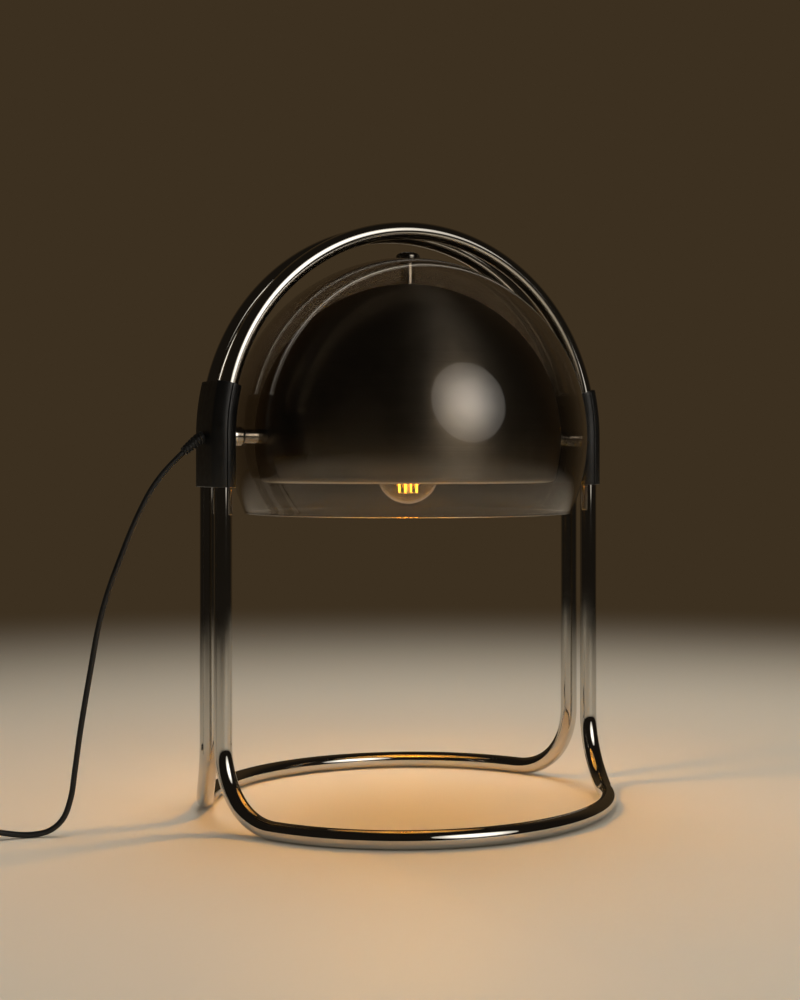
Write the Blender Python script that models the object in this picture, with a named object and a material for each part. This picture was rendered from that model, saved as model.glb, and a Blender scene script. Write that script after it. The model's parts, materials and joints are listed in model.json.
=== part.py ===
"""A table lamp of chromed tube: two tube loops side by side, held at each side by a black clamp.

A smoked outer dome and a spun inner dome hang on a horizontal axle between the clamps and tilt on it.
The mains cord leaves the left clamp, passes an in-line rocker switch and ends in a coil and a plug.
All lengths are in metres. X runs along the axle, Y from front to rear, Z up from the table.
"""
import math

import bmesh
import bpy
import numpy as np
from mathutils import Matrix, Vector

# Gaps between pieces that touch on the real lamp
SEAT_GAP = 0.0003
RUNNING_GAP = 0.0003
OVERRUN = 0.002

# Chromed tubes
TUBE_DIAMETER = 0.016
TUBE_WALL = 0.0015
TUBE_SPACING = 0.0348
ARCH_RADIUS = 0.1915
AXLE_HEIGHT = 0.3432
FOOT_BEND_RADIUS = 0.066
FOOT_TURN_START = math.radians(11.5)
FOOT_TURN_END = math.radians(27.0)
JOINT_DROP = 0.020
SPIGOT_LENGTH = 0.038
TUBE_SIDES = 12
ARCH_STEPS = 26
BORE_SIDES = 6

# Black clamps that join the tubes and carry the axle
CLAMP_WALL = 0.0027
CLAMP_DROP = 0.0452
CLAMP_RISE_STEPS = 2
POCKET_RADIUS = 0.0086
BUSH_SEAT_DEPTH = 0.0068
POCKET_SPARE = 0.0050
CLAMP_SCREW_OFFSET = 0.031
CLAMP_SCREW_RADIUS = 0.0015
CLAMP_SCREW_LENGTH = 0.0135
CLAMP_SCREW_HEAD_RADIUS = 0.0028
CLAMP_SCREW_HEAD_HEIGHT = 0.0018
CLAMP_SCREW_SINK = 0.0045

# Domes
SHADE_TO_ARCH = 0.0238
SHADE_WALL = 0.003
SHADE_RIM_DROP = 0.0707
REFLECTOR_TO_SHADE = 0.0246
REFLECTOR_WALL = 0.0012
REFLECTOR_RIM_DROP = 0.0418
REFLECTOR_LIP_RADIUS = 0.006
REFLECTOR_LIP_FLAT = 0.002
DOME_SIDES = 32
LIP_STEPS = 2

# Axle and what is threaded on it
AXLE_RADIUS = 0.005
AXLE_BORE_RADIUS = 0.0032
AXLE_END = 0.0014
AXLE_SPACER_RADIUS = 0.0064
COLLAR_RADIUS = 0.0086
BUSH_RADIUS = 0.0065
BUSH_FLANGE_RADIUS = 0.0080
BUSH_FLANGE = 0.0015
BUSH_FLANGE_SINK = 0.0006
WASHER_RADIUS = 0.0080
WASHER_THICKNESS = 0.0010
NUT_ACROSS_FLATS = 0.014
NUT_THICKNESS = 0.0035
ROUND_SIDES = 16

# Stem at the top of the shade
STEM_SPACER_RADIUS = 0.0070
FINIAL_RADIUS = 0.01125
FINIAL_HEIGHT = 0.0061
FINIAL_EDGE = 0.0016
FINIAL_BORE_DEPTH = 0.0038
STEM_IN_HOLDER = 0.0060

# Lamp holder and bulb
BULB_TIP_DROP = 0.0622
BULB_RADIUS = 0.030
BULB_GLASS_LENGTH = 0.080
BULB_GLASS_WALL = 0.0009
BULB_NECK_RADIUS = 0.0120
NECK_INSET = 0.008
BULB_CAP_RADIUS = 0.0132
BULB_CAP_WALL = 0.0007
BULB_CAP_LENGTH = 0.026
BULB_CONTACT_RADIUS = 0.0045
BULB_CONTACT_HEIGHT = 0.0015
FILAMENT_RADIUS = 0.0011
FILAMENT_LENGTH = 0.038
FILAMENT_DEPTH = 0.030
FILAMENT_RING_RADIUS = 0.0085
FILAMENT_COUNT = 4
FILAMENT_PLATE = 0.0012
BULB_STEM_RADIUS = 0.0020
TONGUE_THICKNESS = 0.0008
INSERT_THICKNESS = 0.005
HOLDER_RADIUS = 0.020
HOLDER_WALL = 0.0026
HOLDER_EDGE = 0.002
THREAD_SHELL_WALL = 0.0006
HOLDER_CAP_HEIGHT = 0.022
HOLDER_CAP_STRAIGHT = 0.014
HOLDER_NECK_RADIUS = 0.0085
LEAD_ENTRY_HEIGHT = 0.0072
BULB_SIDES = 16

# Mains cord
CORD_DIAMETER = 0.005
CORD_CLEARANCE = 0.0006
CORD_STEP = 0.0125
BOOT_LENGTH = 0.022
BOOT_BASE_RADIUS = 0.0058
BOOT_TIP_RADIUS = 0.0040
BOOT_STATIONS = 6
COIL_MEAN_RADIUS = 0.030
COIL_TURNS = 6
COIL_GAP = 0.00045
LOOP_POINTS = 24
TIE_THICKNESS = 0.0010
TIE_GAP = 0.0005
TIE_WIDTH = 0.008
TIE_ANGLE = math.radians(20.0)
TIE_CORNER = 0.0015

# In-line switch, in its own frame: X along the cord, Z up from the table
SWITCH_LENGTH = 0.062
SWITCH_WIDTH = 0.026
SWITCH_HEIGHT = 0.018
SWITCH_SPLIT = 0.008
SWITCH_CORNER = 0.008
SWITCH_FLOOR = 0.002
SWITCH_CAVITY_LENGTH = 0.046
SWITCH_CAVITY_WIDTH = 0.013
SWITCH_CAVITY_TOP = 0.0125
ROCKER_LENGTH = 0.019
ROCKER_WIDTH = 0.010
ROCKER_GAP = 0.0008
ROCKER_PIVOT_HEIGHT = 0.0145
ROCKER_DEPTH = 0.002
ROCKER_WAIST = 0.0034
ROCKER_TIP = 0.0046
ROCKER_TILT = math.radians(8.0)
PIN_RADIUS = 0.0012
PIN_LENGTH = 0.016
SWITCH_SCREW_X = 0.020
SWITCH_SCREW_Y = 0.0097
SWITCH_SCREW_RADIUS = 0.00125
SWITCH_SCREW_LENGTH = 0.0110
SWITCH_SCREW_HEAD_RADIUS = 0.0022
SWITCH_SCREW_HEAD_HEIGHT = 0.0014
SWITCH_SCREW_SINK = 0.0020
TERMINAL_LENGTH = 0.006
TERMINAL_WIDTH = 0.004
TERMINAL_HEIGHT = 0.004
TERMINAL_OFFSET = 0.0165

# Two-pin plug, in its own frame: X towards the pins, Z up from the table
PLUG_LENGTH = 0.030
PLUG_WIDTH = 0.035
PLUG_REAR_WIDTH = 0.016
PLUG_SHOULDER = 0.013
PLUG_THICKNESS = 0.0137
PLUG_CORNER = 0.003
PLUG_BOOT_LENGTH = 0.014
PLUG_BOOT_RADIUS = 0.0046
PLUG_BOOT_TIP_RADIUS = 0.0038
PLUG_CORD_DEPTH = 0.006
PLUG_CORD_END_GAP = 0.001
PLUG_PIN_RADIUS = 0.0020
PLUG_PIN_LENGTH = 0.019
PLUG_PIN_SPACING = 0.019
PLUG_PIN_DEPTH = 0.008

# The cord's route from inside the left clamp to the switch, and on to the coil and the plug. X counts from
# the axis of the left tubes. Where the cord hangs, its height is a share of the axle's height.
CORD_HANG_PLAN = [
    (-0.0028, 0.0000), (-0.0055, 0.0000), (-0.0107, 0.0000), (-0.0165, 0.0004), (-0.0227, 0.0015),
    (-0.0298, 0.0029), (-0.0460, 0.0064), (-0.0563, 0.0087), (-0.0656, 0.0108), (-0.0732, 0.0126),
    (-0.0820, 0.0144), (-0.0903, 0.0162), (-0.0965, 0.0175), (-0.1016, 0.0187), (-0.1068, 0.0197),
    (-0.1114, 0.0207), (-0.1158, 0.0216), (-0.1197, 0.0224), (-0.1235, 0.0231),
]
CORD_HANG_HEIGHT_SHARE = [
    1.0000, 1.0000, 0.9977, 0.9898, 0.9752, 0.9560, 0.9053, 0.8625, 0.8094,
    0.7584, 0.6920, 0.6250, 0.5656, 0.5009, 0.4135, 0.3336, 0.2517, 0.1646,
    0.0903,
]
CORD_FLOOR_ROUTE = [
    (-0.1300, 0.0243, 0.0140), (-0.1405, 0.0262, 0.0053), (-0.1535, 0.0290, 0.0027),
    (-0.1655, 0.0318, 0.0032), (-0.1775, 0.0342, 0.0054), (-0.1875, 0.0354, 0.0076),
    (-0.1936, 0.0358, 0.0080), (-0.2016, 0.0364, 0.0080),
]
CORD_LINK_ROUTE = [
    (-0.2474, 0.0396, 0.0080), (-0.2554, 0.0402, 0.0080), (-0.2635, 0.0416, 0.0070),
    (-0.2710, 0.0455, 0.0055), (-0.2767, 0.0520, 0.0040), (-0.2797, 0.0605, 0.0030),
    (-0.2803, 0.0700, 0.0026), (-0.2791, 0.0800, 0.0025), (-0.2775, 0.0890, 0.0025),
    (-0.2768, 0.0946, 0.0025),
]
CORD_TAIL_ROUTE = [
    (-0.2767, 0.1055, 0.0079), (-0.2764, 0.1160, 0.0075), (-0.2753, 0.1270, 0.0058),
    (-0.2728, 0.1380, 0.0041), (-0.2685, 0.1480, 0.0031), (-0.2622, 0.1568, 0.0034),
    (-0.2560, 0.1612, 0.0053), (-0.2490, 0.1630, 0.0069), (-0.2275, 0.1630, 0.0069),
]
# The lead inside the lamp, between the axle's inner end and the holder: shares of the way in and up
LEAD_WAY_SHARE = [0.0, 0.1074, 0.2479, 0.4132, 0.5702, 0.7355, 0.8678, 1.0]
LEAD_RISE_SHARE = [0.0, 0.0150, 0.1271, 0.3888, 0.6879, 0.9215, 0.9963, 1.0]
LEAD_STRAIGHT = 0.0017
LEAD_IN_HOLDER = 0.006
LEAD_END_GAP = 0.0004


def flat(radius, sides):
    """Corner radius of a regular polygon whose flats lie at radius."""
    return radius / math.cos(math.pi / sides)


def same_area(radius, sides):
    """Corner radius of a regular polygon with the area of a circle of that radius."""
    step = 2 * math.pi / sides
    return radius * math.sqrt(step / math.sin(step))


# Values that follow from the sizes above
tube_radius = TUBE_DIAMETER / 2
tube_corner = flat(tube_radius, TUBE_SIDES)
tube_bore_corner = same_area(tube_radius - TUBE_WALL, BORE_SIDES)
tube_bore_flat = tube_bore_corner * math.cos(math.pi / BORE_SIDES)
half_spacing = TUBE_SPACING / 2
channel_radius = tube_corner + SEAT_GAP
clamp_radius = channel_radius + CLAMP_WALL
clamp_inner_face = ARCH_RADIUS - clamp_radius
clamp_outer_face = ARCH_RADIUS + clamp_radius
pocket_floor = clamp_inner_face + BUSH_SEAT_DEPTH
lock_nut_start = pocket_floor + SEAT_GAP + WASHER_THICKNESS + SEAT_GAP
axle_outer_end = lock_nut_start + NUT_THICKNESS + AXLE_END
pocket_end = axle_outer_end + POCKET_SPARE
axle_hole = AXLE_RADIUS + SEAT_GAP
shade_radius = ARCH_RADIUS - SHADE_TO_ARCH
reflector_radius = shade_radius - REFLECTOR_TO_SHADE
reflector_inside = reflector_radius - REFLECTOR_WALL
shade_inside = shade_radius - SHADE_WALL
inner_nut_start = reflector_inside - SEAT_GAP - NUT_THICKNESS
axle_inner_end = inner_nut_start - AXLE_END
flange_seat = clamp_inner_face + BUSH_FLANGE_SINK
bush_flange_start = flange_seat - SEAT_GAP - BUSH_FLANGE
cord_radius = CORD_DIAMETER / 2
cord_hole = cord_radius + CORD_CLEARANCE
coil_pitch = CORD_DIAMETER + COIL_GAP
coil_inner_radius = COIL_MEAN_RADIUS - coil_pitch * COIL_TURNS / 4
coil_outer_radius = COIL_MEAN_RADIUS + coil_pitch * COIL_TURNS / 4
tie_lift = TIE_THICKNESS + TIE_GAP
run_end = CORD_FLOOR_ROUTE[-1]
link_start = CORD_LINK_ROUTE[0]
link_end = CORD_LINK_ROUTE[-1]
tail_end = CORD_TAIL_ROUTE[-1]
coil_x = link_end[0] - ARCH_RADIUS + coil_outer_radius
coil_y = link_end[1] + CORD_DIAMETER + SEAT_GAP
switch_x = (run_end[0] + link_start[0]) / 2 - ARCH_RADIUS
switch_y = (run_end[1] + link_start[1]) / 2
switch_heading = math.atan2(link_start[1] - run_end[1], link_start[0] - run_end[0])
plug_x = tail_end[0] - ARCH_RADIUS - PLUG_CORD_DEPTH + PLUG_CORD_END_GAP
plug_y = tail_end[1]


def finish(name, colour, metallic=0.0, roughness=0.5, alpha=1.0):
    """A plain material of one colour."""
    made = bpy.data.materials.new(name)
    made.use_nodes = True
    shader = made.node_tree.nodes["Principled BSDF"]
    shader.inputs["Base Color"].default_value = (*colour, 1.0)
    shader.inputs["Metallic"].default_value = metallic
    shader.inputs["Roughness"].default_value = roughness
    shader.inputs["Alpha"].default_value = alpha
    made.diffuse_color = (*colour, alpha)
    return made


def chrome(name):
    return finish(name + " chrome", (0.62, 0.61, 0.59), 1.0, 0.06)


def zinc(name):
    return finish(name + " zinc-plated steel", (0.55, 0.55, 0.54), 1.0, 0.3)


def brass(name):
    return finish(name + " brass", (0.72, 0.52, 0.22), 1.0, 0.25)


def black_plastic(name):
    return finish(name + " black plastic", (0.02, 0.02, 0.021), 0.0, 0.42)


def black_rubber(name):
    return finish(name + " black flexible plastic", (0.018, 0.018, 0.018), 0.0, 0.55)


def place(made, material, parent=None, at=(0, 0, 0), turn=(0, 0, 0)):
    """Puts an object in the scene, on its parent, with its own material."""
    bpy.context.collection.objects.link(made)
    made.parent = parent
    made.location = at
    made.rotation_euler = turn
    if material:
        made.data.materials.append(material)
    return made


def pivot(name, at, turn=(0, 0, 0), parent=None):
    return place(bpy.data.objects.new(name, None), None, parent, at, turn)


def close(name, shape, material, **where):
    """Turns a bmesh into an object with merged points, outward faces and smooth round sides."""
    bmesh.ops.remove_doubles(shape, verts=shape.verts, dist=tube_radius / 100000)
    bmesh.ops.recalc_face_normals(shape, faces=shape.faces)
    mesh = bpy.data.meshes.new(name)
    shape.to_mesh(mesh)
    shape.free()
    mesh.shade_smooth()
    mesh.set_sharp_from_angle(angle=math.radians(35))
    return place(bpy.data.objects.new(name, mesh), material, **where)


def turned(name, profile, sides, material, flats_out=False, **where):
    """A closed outline of (radius, height) points, spun about the object's own Z axis."""
    shape = bmesh.new()
    points = [shape.verts.new((radius, 0, height)) for radius, height in profile]
    edges = []
    for a, b in zip(points, points[1:] + points[:1]):
        if a.co.x > 0 or b.co.x > 0:
            edges.append(shape.edges.new((a, b)))
    bmesh.ops.spin(shape, geom=points + edges, cent=(0, 0, 0), axis=(0, 0, 1),
                   angle=2 * math.pi, steps=sides, use_merge=True)
    if flats_out:
        half_step = Matrix.Rotation(math.pi / sides, 3, "Z")
        bmesh.ops.rotate(shape, verts=shape.verts, cent=(0, 0, 0), matrix=half_step)
    return close(name, shape, material, **where)


def sleeve(inner, outer, low, high, sides):
    """Outline of a plain tube or washer: the bore's flats and the outside's corners are at their radii."""
    bore = flat(inner, sides)
    return [(bore, low), (outer, low), (outer, high), (bore, high)]


def prism(shape, outline, low, high):
    """Adds a prism on a flat outline of (x, y) points to a bmesh."""
    base = [shape.verts.new((x, y, low)) for x, y in outline]
    top = [shape.verts.new((x, y, high)) for x, y in outline]
    shape.faces.new(base[::-1])
    shape.faces.new(top)
    for k in range(len(outline)):
        after = (k + 1) % len(outline)
        shape.faces.new((base[k], base[after], top[after], top[k]))


def framed_prism(shape, outer, inner, low, high):
    """Adds a prism with a hole; outer and inner are outlines with the same number of points."""
    rings = [[shape.verts.new((x, y, z)) for x, y in outline]
             for outline, z in ((outer, low), (outer, high), (inner, high), (inner, low))]
    count = len(outer)
    for one, two in zip(rings, rings[1:] + rings[:1]):
        for k in range(count):
            after = (k + 1) % count
            shape.faces.new((one[k], one[after], two[after], two[k]))


def rounded_outline(length, width, corner, steps=4):
    """Outline of a rectangle with round corners, centred on zero."""
    outline = []
    for quarter, (across, along) in enumerate(((1, 1), (-1, 1), (-1, -1), (1, -1))):
        for step in range(steps + 1):
            angle = (quarter + step / steps) * math.pi / 2
            outline.append((across * (length / 2 - corner) + corner * math.cos(angle),
                            along * (width / 2 - corner) + corner * math.sin(angle)))
    return outline


def hex_nut(name, bore, material, **where):
    """A hexagonal nut from height zero to its thickness."""
    corner = flat(NUT_ACROSS_FLATS / 2, 6)
    outer = []
    inner = []
    for k in range(12):
        angle = k * math.pi / 6
        reach = corner if k % 2 == 0 else NUT_ACROSS_FLATS / 2
        outer.append((reach * math.cos(angle), reach * math.sin(angle)))
        inner.append((flat(bore, 12) * math.cos(angle), flat(bore, 12) * math.sin(angle)))
    shape = bmesh.new()
    framed_prism(shape, outer, inner, 0, NUT_THICKNESS)
    return close(name, shape, material, **where)


def swept(name, stations, bore, material, sides=TUBE_SIDES, **where):
    """A tube with a bore. A station is (centre, side direction, travel direction, outer corner radius)."""
    shape = bmesh.new()
    outer_rings = []
    bore_rings = []
    for centre, side, travel, radius in stations:
        across = travel.cross(side).normalized()
        for rings, count, reach in ((outer_rings, sides, radius), (bore_rings, sides // 2, bore)):
            ring = []
            for k in range(count):
                angle = (k + 0.5) * 2 * math.pi / count
                spoke = side * math.cos(angle) + across * math.sin(angle)
                ring.append(shape.verts.new(centre + spoke * reach))
            rings.append(ring)
    for rings in (outer_rings, bore_rings):
        for one, two in zip(rings, rings[1:]):
            for k in range(len(one)):
                after = (k + 1) % len(one)
                shape.faces.new((one[k], one[after], two[after], two[k]))
    for outer, inner in ((outer_rings[0], bore_rings[0]), (outer_rings[-1], bore_rings[-1])):
        for k in range(sides // 2):
            after = (k + 1) % (sides // 2)
            left, right, far = outer[2 * k], outer[2 * k + 1], outer[(2 * k + 2) % sides]
            shape.faces.new((left, right, inner[k]))
            shape.faces.new((right, far, inner[after], inner[k]))
    return close(name, shape, material, **where)


def cut(target, cutter):
    """Cuts one shape out of another and keeps the cutter out of the model."""
    cutter.hide_render = True
    cutter.display_type = "WIRE"
    boolean = target.modifiers.new("cut by " + cutter.name, "BOOLEAN")
    boolean.operation = "DIFFERENCE"
    boolean.solver = "EXACT"
    boolean.object = cutter


def join(target, helper):
    """Joins one shape to another and keeps the helper out of the model."""
    cut(target, helper)
    target.modifiers[-1].operation = "UNION"


def rod_cutter(name, radius, low, high, sides=ROUND_SIDES, **where):
    """A round cutter along its own Z axis, whose flats lie at radius."""
    corner = flat(radius, sides)
    return turned(name, [(0, low), (corner, low), (corner, high), (0, high)], sides, None, flats_out=True,
                  **where)


def stepped_cutter(name, low, steps, sides=ROUND_SIDES, **where):
    """A round cutter in steps; each step is (radius, height at which it ends)."""
    profile = [(0, low)]
    for radius, end in steps:
        profile += [(flat(radius, sides), low), (flat(radius, sides), end)]
        low = end
    return turned(name, profile + [(0, low)], sides, None, flats_out=True, **where)


def box_cutter(name, length, width, low, high, corner, **where):
    shape = bmesh.new()
    prism(shape, rounded_outline(length, width, corner, 2), low, high)
    return close(name, shape, None, **where)


def from_left_tubes(route):
    """A route with X counted from the axis of the left tubes, put in its place."""
    return [(x - ARCH_RADIUS, y, z) for x, y, z in route]


def smooth_line(points, step):
    """Evenly spaced points of a smooth curve (a centripetal spline). Its first and last lengths are straight."""
    ends = np.array(points, float)
    knots = ends[1:-1]
    padded = ends
    dense = [knots[0]]
    for p0, p1, p2, p3 in zip(padded, padded[1:], padded[2:], padded[3:]):
        t0 = 0.0
        t1 = t0 + np.linalg.norm(p1 - p0) ** 0.5
        t2 = t1 + np.linalg.norm(p2 - p1) ** 0.5
        t3 = t2 + np.linalg.norm(p3 - p2) ** 0.5
        for t in np.linspace(t1, t2, 17)[1:]:
            a1 = (t1 - t) / (t1 - t0) * p0 + (t - t0) / (t1 - t0) * p1
            a2 = (t2 - t) / (t2 - t1) * p1 + (t - t1) / (t2 - t1) * p2
            a3 = (t3 - t) / (t3 - t2) * p2 + (t - t2) / (t3 - t2) * p3
            b1 = (t2 - t) / (t2 - t0) * a1 + (t - t0) / (t2 - t0) * a2
            b2 = (t3 - t) / (t3 - t1) * a2 + (t - t1) / (t3 - t1) * a3
            dense.append((t2 - t) / (t2 - t1) * b1 + (t - t1) / (t2 - t1) * b2)
    dense = np.array(dense)
    run = np.concatenate([[0], np.cumsum(np.linalg.norm(np.diff(dense, axis=0), axis=1))])
    marks = np.linspace(0, run[-1], max(2, round(run[-1] / step)) + 1)
    middle = np.column_stack([np.interp(marks, run, dense[:, k]) for k in range(3)])
    return np.vstack([ends[0], middle, ends[-1]])


def cord_tube(name, line, material, resolution=2):
    """A round cord along a line of points."""
    data = bpy.data.curves.new(name, "CURVE")
    data.dimensions = "3D"
    data.bevel_depth = cord_radius
    data.bevel_resolution = resolution
    data.use_fill_caps = True
    spline = data.splines.new("POLY")
    spline.points.add(len(line) - 1)
    for point, (x, y, z) in zip(spline.points, line):
        point.co = (x, y, z, 1)
        point.radius = 1
    return place(bpy.data.objects.new(name, data), material)


def length_of(line):
    return float(np.linalg.norm(np.diff(line, axis=0), axis=1).sum())


def arch_tube(name, row):
    """Half circle in an upright plane, with a short straight end that reaches down into each clamp."""
    joint = AXLE_HEIGHT - JOINT_DROP + SEAT_GAP / 2
    steps = ARCH_STEPS
    stations = [(Vector((ARCH_RADIUS, row, joint)), Vector((1, 0, 0)), Vector((0, 0, 1)), tube_corner)]
    for k in range(steps + 1):
        angle = k * math.pi / steps
        out = Vector((math.cos(angle), 0, math.sin(angle)))
        centre = Vector((0, row, AXLE_HEIGHT)) + out * ARCH_RADIUS
        stations.append((centre, out, Vector((-out.z, 0, out.x)), tube_corner))
    stations.append((Vector((-ARCH_RADIUS, row, joint)), Vector((-1, 0, 0)), Vector((0, 0, -1)), tube_corner))
    return swept(name, stations, tube_bore_corner, chrome(name))


def base_tube(name, row):
    """Two legs and half of the base ring. Each foot turns inwards while it bends down to the table."""
    facing = 1 if row > 0 else -1
    joint = AXLE_HEIGHT - JOINT_DROP - SEAT_GAP / 2
    foot_steps = 6
    ring_steps = 9

    def station(x, y, z, turn, slope):
        side = Vector((math.cos(turn), facing * math.sin(turn), 0))
        travel = Vector((-math.sin(turn) * math.sin(slope), facing * math.cos(turn) * math.sin(slope),
                         -math.cos(slope)))
        return Vector((x, facing * y, z)), side, travel

    half = [station(ARCH_RADIUS, half_spacing, joint, FOOT_TURN_START, 0)]
    plan_radius = FOOT_BEND_RADIUS / (FOOT_TURN_END - FOOT_TURN_START)
    for k in range(foot_steps + 1):
        slope = k / foot_steps * math.pi / 2
        run_share = 1 - math.cos(slope)
        turn = FOOT_TURN_START + (FOOT_TURN_END - FOOT_TURN_START) * run_share
        x = ARCH_RADIUS - plan_radius * (math.cos(FOOT_TURN_START) - math.cos(turn))
        y = half_spacing + plan_radius * (math.sin(turn) - math.sin(FOOT_TURN_START))
        z = tube_radius + FOOT_BEND_RADIUS * (1 - math.sin(slope))
        half.append(station(x, y, z, turn, slope))
    ring_radius = x / math.cos(FOOT_TURN_END)
    ring_centre = y - ring_radius * math.sin(FOOT_TURN_END)
    for k in range(1, ring_steps + 1):
        turn = FOOT_TURN_END + (math.pi / 2 - FOOT_TURN_END) * k / ring_steps
        x = ring_radius * math.cos(turn)
        half.append(station(x, ring_centre + ring_radius * math.sin(turn), tube_radius, turn, math.pi / 2))
    mirrored = []
    for centre, side, travel in half[-2::-1]:
        centre = Vector((-centre.x, centre.y, centre.z))
        side = Vector((-side.x, side.y, 0))
        mirrored.append((centre, side, Vector((travel.x, -travel.y, -travel.z))))
    stations = [(*each, tube_corner) for each in half + mirrored]
    return swept(name, stations, tube_bore_corner, chrome(name))


def tube_spigots():
    """Four short rods inside the clamps that line up the arch tubes with the leg tubes."""
    radius = tube_bore_flat - SEAT_GAP
    half = SPIGOT_LENGTH / 2
    for row, y in (("front", -half_spacing), ("rear", half_spacing)):
        for word, x in (("left", -ARCH_RADIUS), ("right", ARCH_RADIUS)):
            name = f"{row}_{word}_tube_spigot"
            turned(name, [(0, -half), (radius, -half), (radius, half), (0, half)], 12, zinc(name),
                   at=(x, y, AXLE_HEIGHT - JOINT_DROP))


def arc(centre, radius, start, end, steps):
    """Points (depth, width) on an arc about (0, centre); angles run from the width axis."""
    points = []
    for k in range(steps + 1):
        angle = start + (end - start) * k / steps
        points.append((radius * math.sin(angle), centre + radius * math.cos(angle)))
    return points


def clamp_section(sign):
    """Outline of half a clamp across the tubes; sign is 1 for the outer half and -1 for the inner."""
    edge = SEAT_GAP / 2
    steps = 5
    channel_corner = flat(channel_radius, 2 * steps)
    rim = math.asin(edge / clamp_radius)
    lip = math.asin(edge / channel_corner)
    outline = arc(half_spacing, clamp_radius, rim, math.pi / 2, steps)
    outline += arc(-half_spacing, clamp_radius, math.pi / 2, math.pi - rim, steps)
    outline += arc(-half_spacing, channel_corner, math.pi - lip, lip, steps)
    outline += arc(half_spacing, channel_corner, math.pi - lip, lip, steps)
    return [(sign * depth, width) for depth, width in outline]


def clamp_half(name, side, sign, material):
    """Half of a clamp: the section carried up the legs and on along the start of the arch."""
    section = clamp_section(sign)
    shape = bmesh.new()
    rings = []
    for k in range(-1, CLAMP_RISE_STEPS + 1):
        angle = max(k, 0) * math.pi / ARCH_STEPS
        drop = CLAMP_DROP if k < 0 else 0
        out = Vector((side * math.cos(angle), 0, math.sin(angle)))
        centre = Vector((0, 0, AXLE_HEIGHT - drop)) + out * ARCH_RADIUS
        rings.append([shape.verts.new(centre + out * depth + Vector((0, width, 0)))
                      for depth, width in section])
    for one, two in zip(rings, rings[1:]):
        for k in range(len(section)):
            after = (k + 1) % len(section)
            shape.faces.new((one[k], one[after], two[after], two[k]))
    shape.faces.new(rings[0])
    shape.faces.new(rings[-1][::-1])
    return close(name, shape, material)


def outward(side):
    """Rotation that turns an object's Z axis to point away from the lamp along the axle."""
    return (0, side * math.pi / 2, 0)


def clamp(word, side):
    """The two halves of one clamp, with the axle pocket, the bush seat and the screw holes."""
    inner = clamp_half(word + "_clamp_inner_half", side, -1, black_plastic(word + " clamp inner half"))
    outer = clamp_half(word + "_clamp_outer_half", side, 1, black_plastic(word + " clamp outer half"))
    pocket = stepped_cutter(word + " bush hole and nut pocket", clamp_inner_face - clamp_radius,
                            [(BUSH_FLANGE_RADIUS + SEAT_GAP, flange_seat),
                             (BUSH_RADIUS + SEAT_GAP, pocket_floor), (POCKET_RADIUS, pocket_end)],
                            at=(0, 0, AXLE_HEIGHT), turn=outward(side))
    cut(inner, pocket)
    cut(outer, pocket)
    head_seat = clamp_inner_face + CLAMP_SCREW_SINK
    for level, height in (("upper", CLAMP_SCREW_OFFSET), ("lower", -CLAMP_SCREW_OFFSET)):
        hole = stepped_cutter(f"{word} {level} screw hole", clamp_inner_face - clamp_radius,
                              [(CLAMP_SCREW_HEAD_RADIUS + SEAT_GAP, head_seat),
                               (CLAMP_SCREW_RADIUS + SEAT_GAP,
                                head_seat + CLAMP_SCREW_LENGTH + SEAT_GAP)], 12,
                              at=(0, 0, AXLE_HEIGHT + height), turn=outward(side))
        cut(inner, hole)
        cut(outer, hole)
    return outer


def screw_outline(radius, length, head_radius, head_height):
    """A screw with its head below zero and its shank above."""
    return [(0, -head_height), (head_radius, -head_height), (head_radius, 0), (radius, 0),
            (radius, length), (0, length)]


def clamp_screws():
    """Two screws through each clamp, put in from the side that faces the shade."""
    profile = screw_outline(CLAMP_SCREW_RADIUS, CLAMP_SCREW_LENGTH, CLAMP_SCREW_HEAD_RADIUS,
                            CLAMP_SCREW_HEAD_HEIGHT)
    seat = clamp_inner_face + CLAMP_SCREW_SINK - SEAT_GAP
    for word, side in (("left", -1), ("right", 1)):
        for level, height in (("upper", CLAMP_SCREW_OFFSET), ("lower", -CLAMP_SCREW_OFFSET)):
            name = f"{word}_{level}_clamp_screw"
            turned(name, profile, 10, zinc(name), at=(side * seat, 0, AXLE_HEIGHT + height),
                   turn=outward(side))


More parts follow.
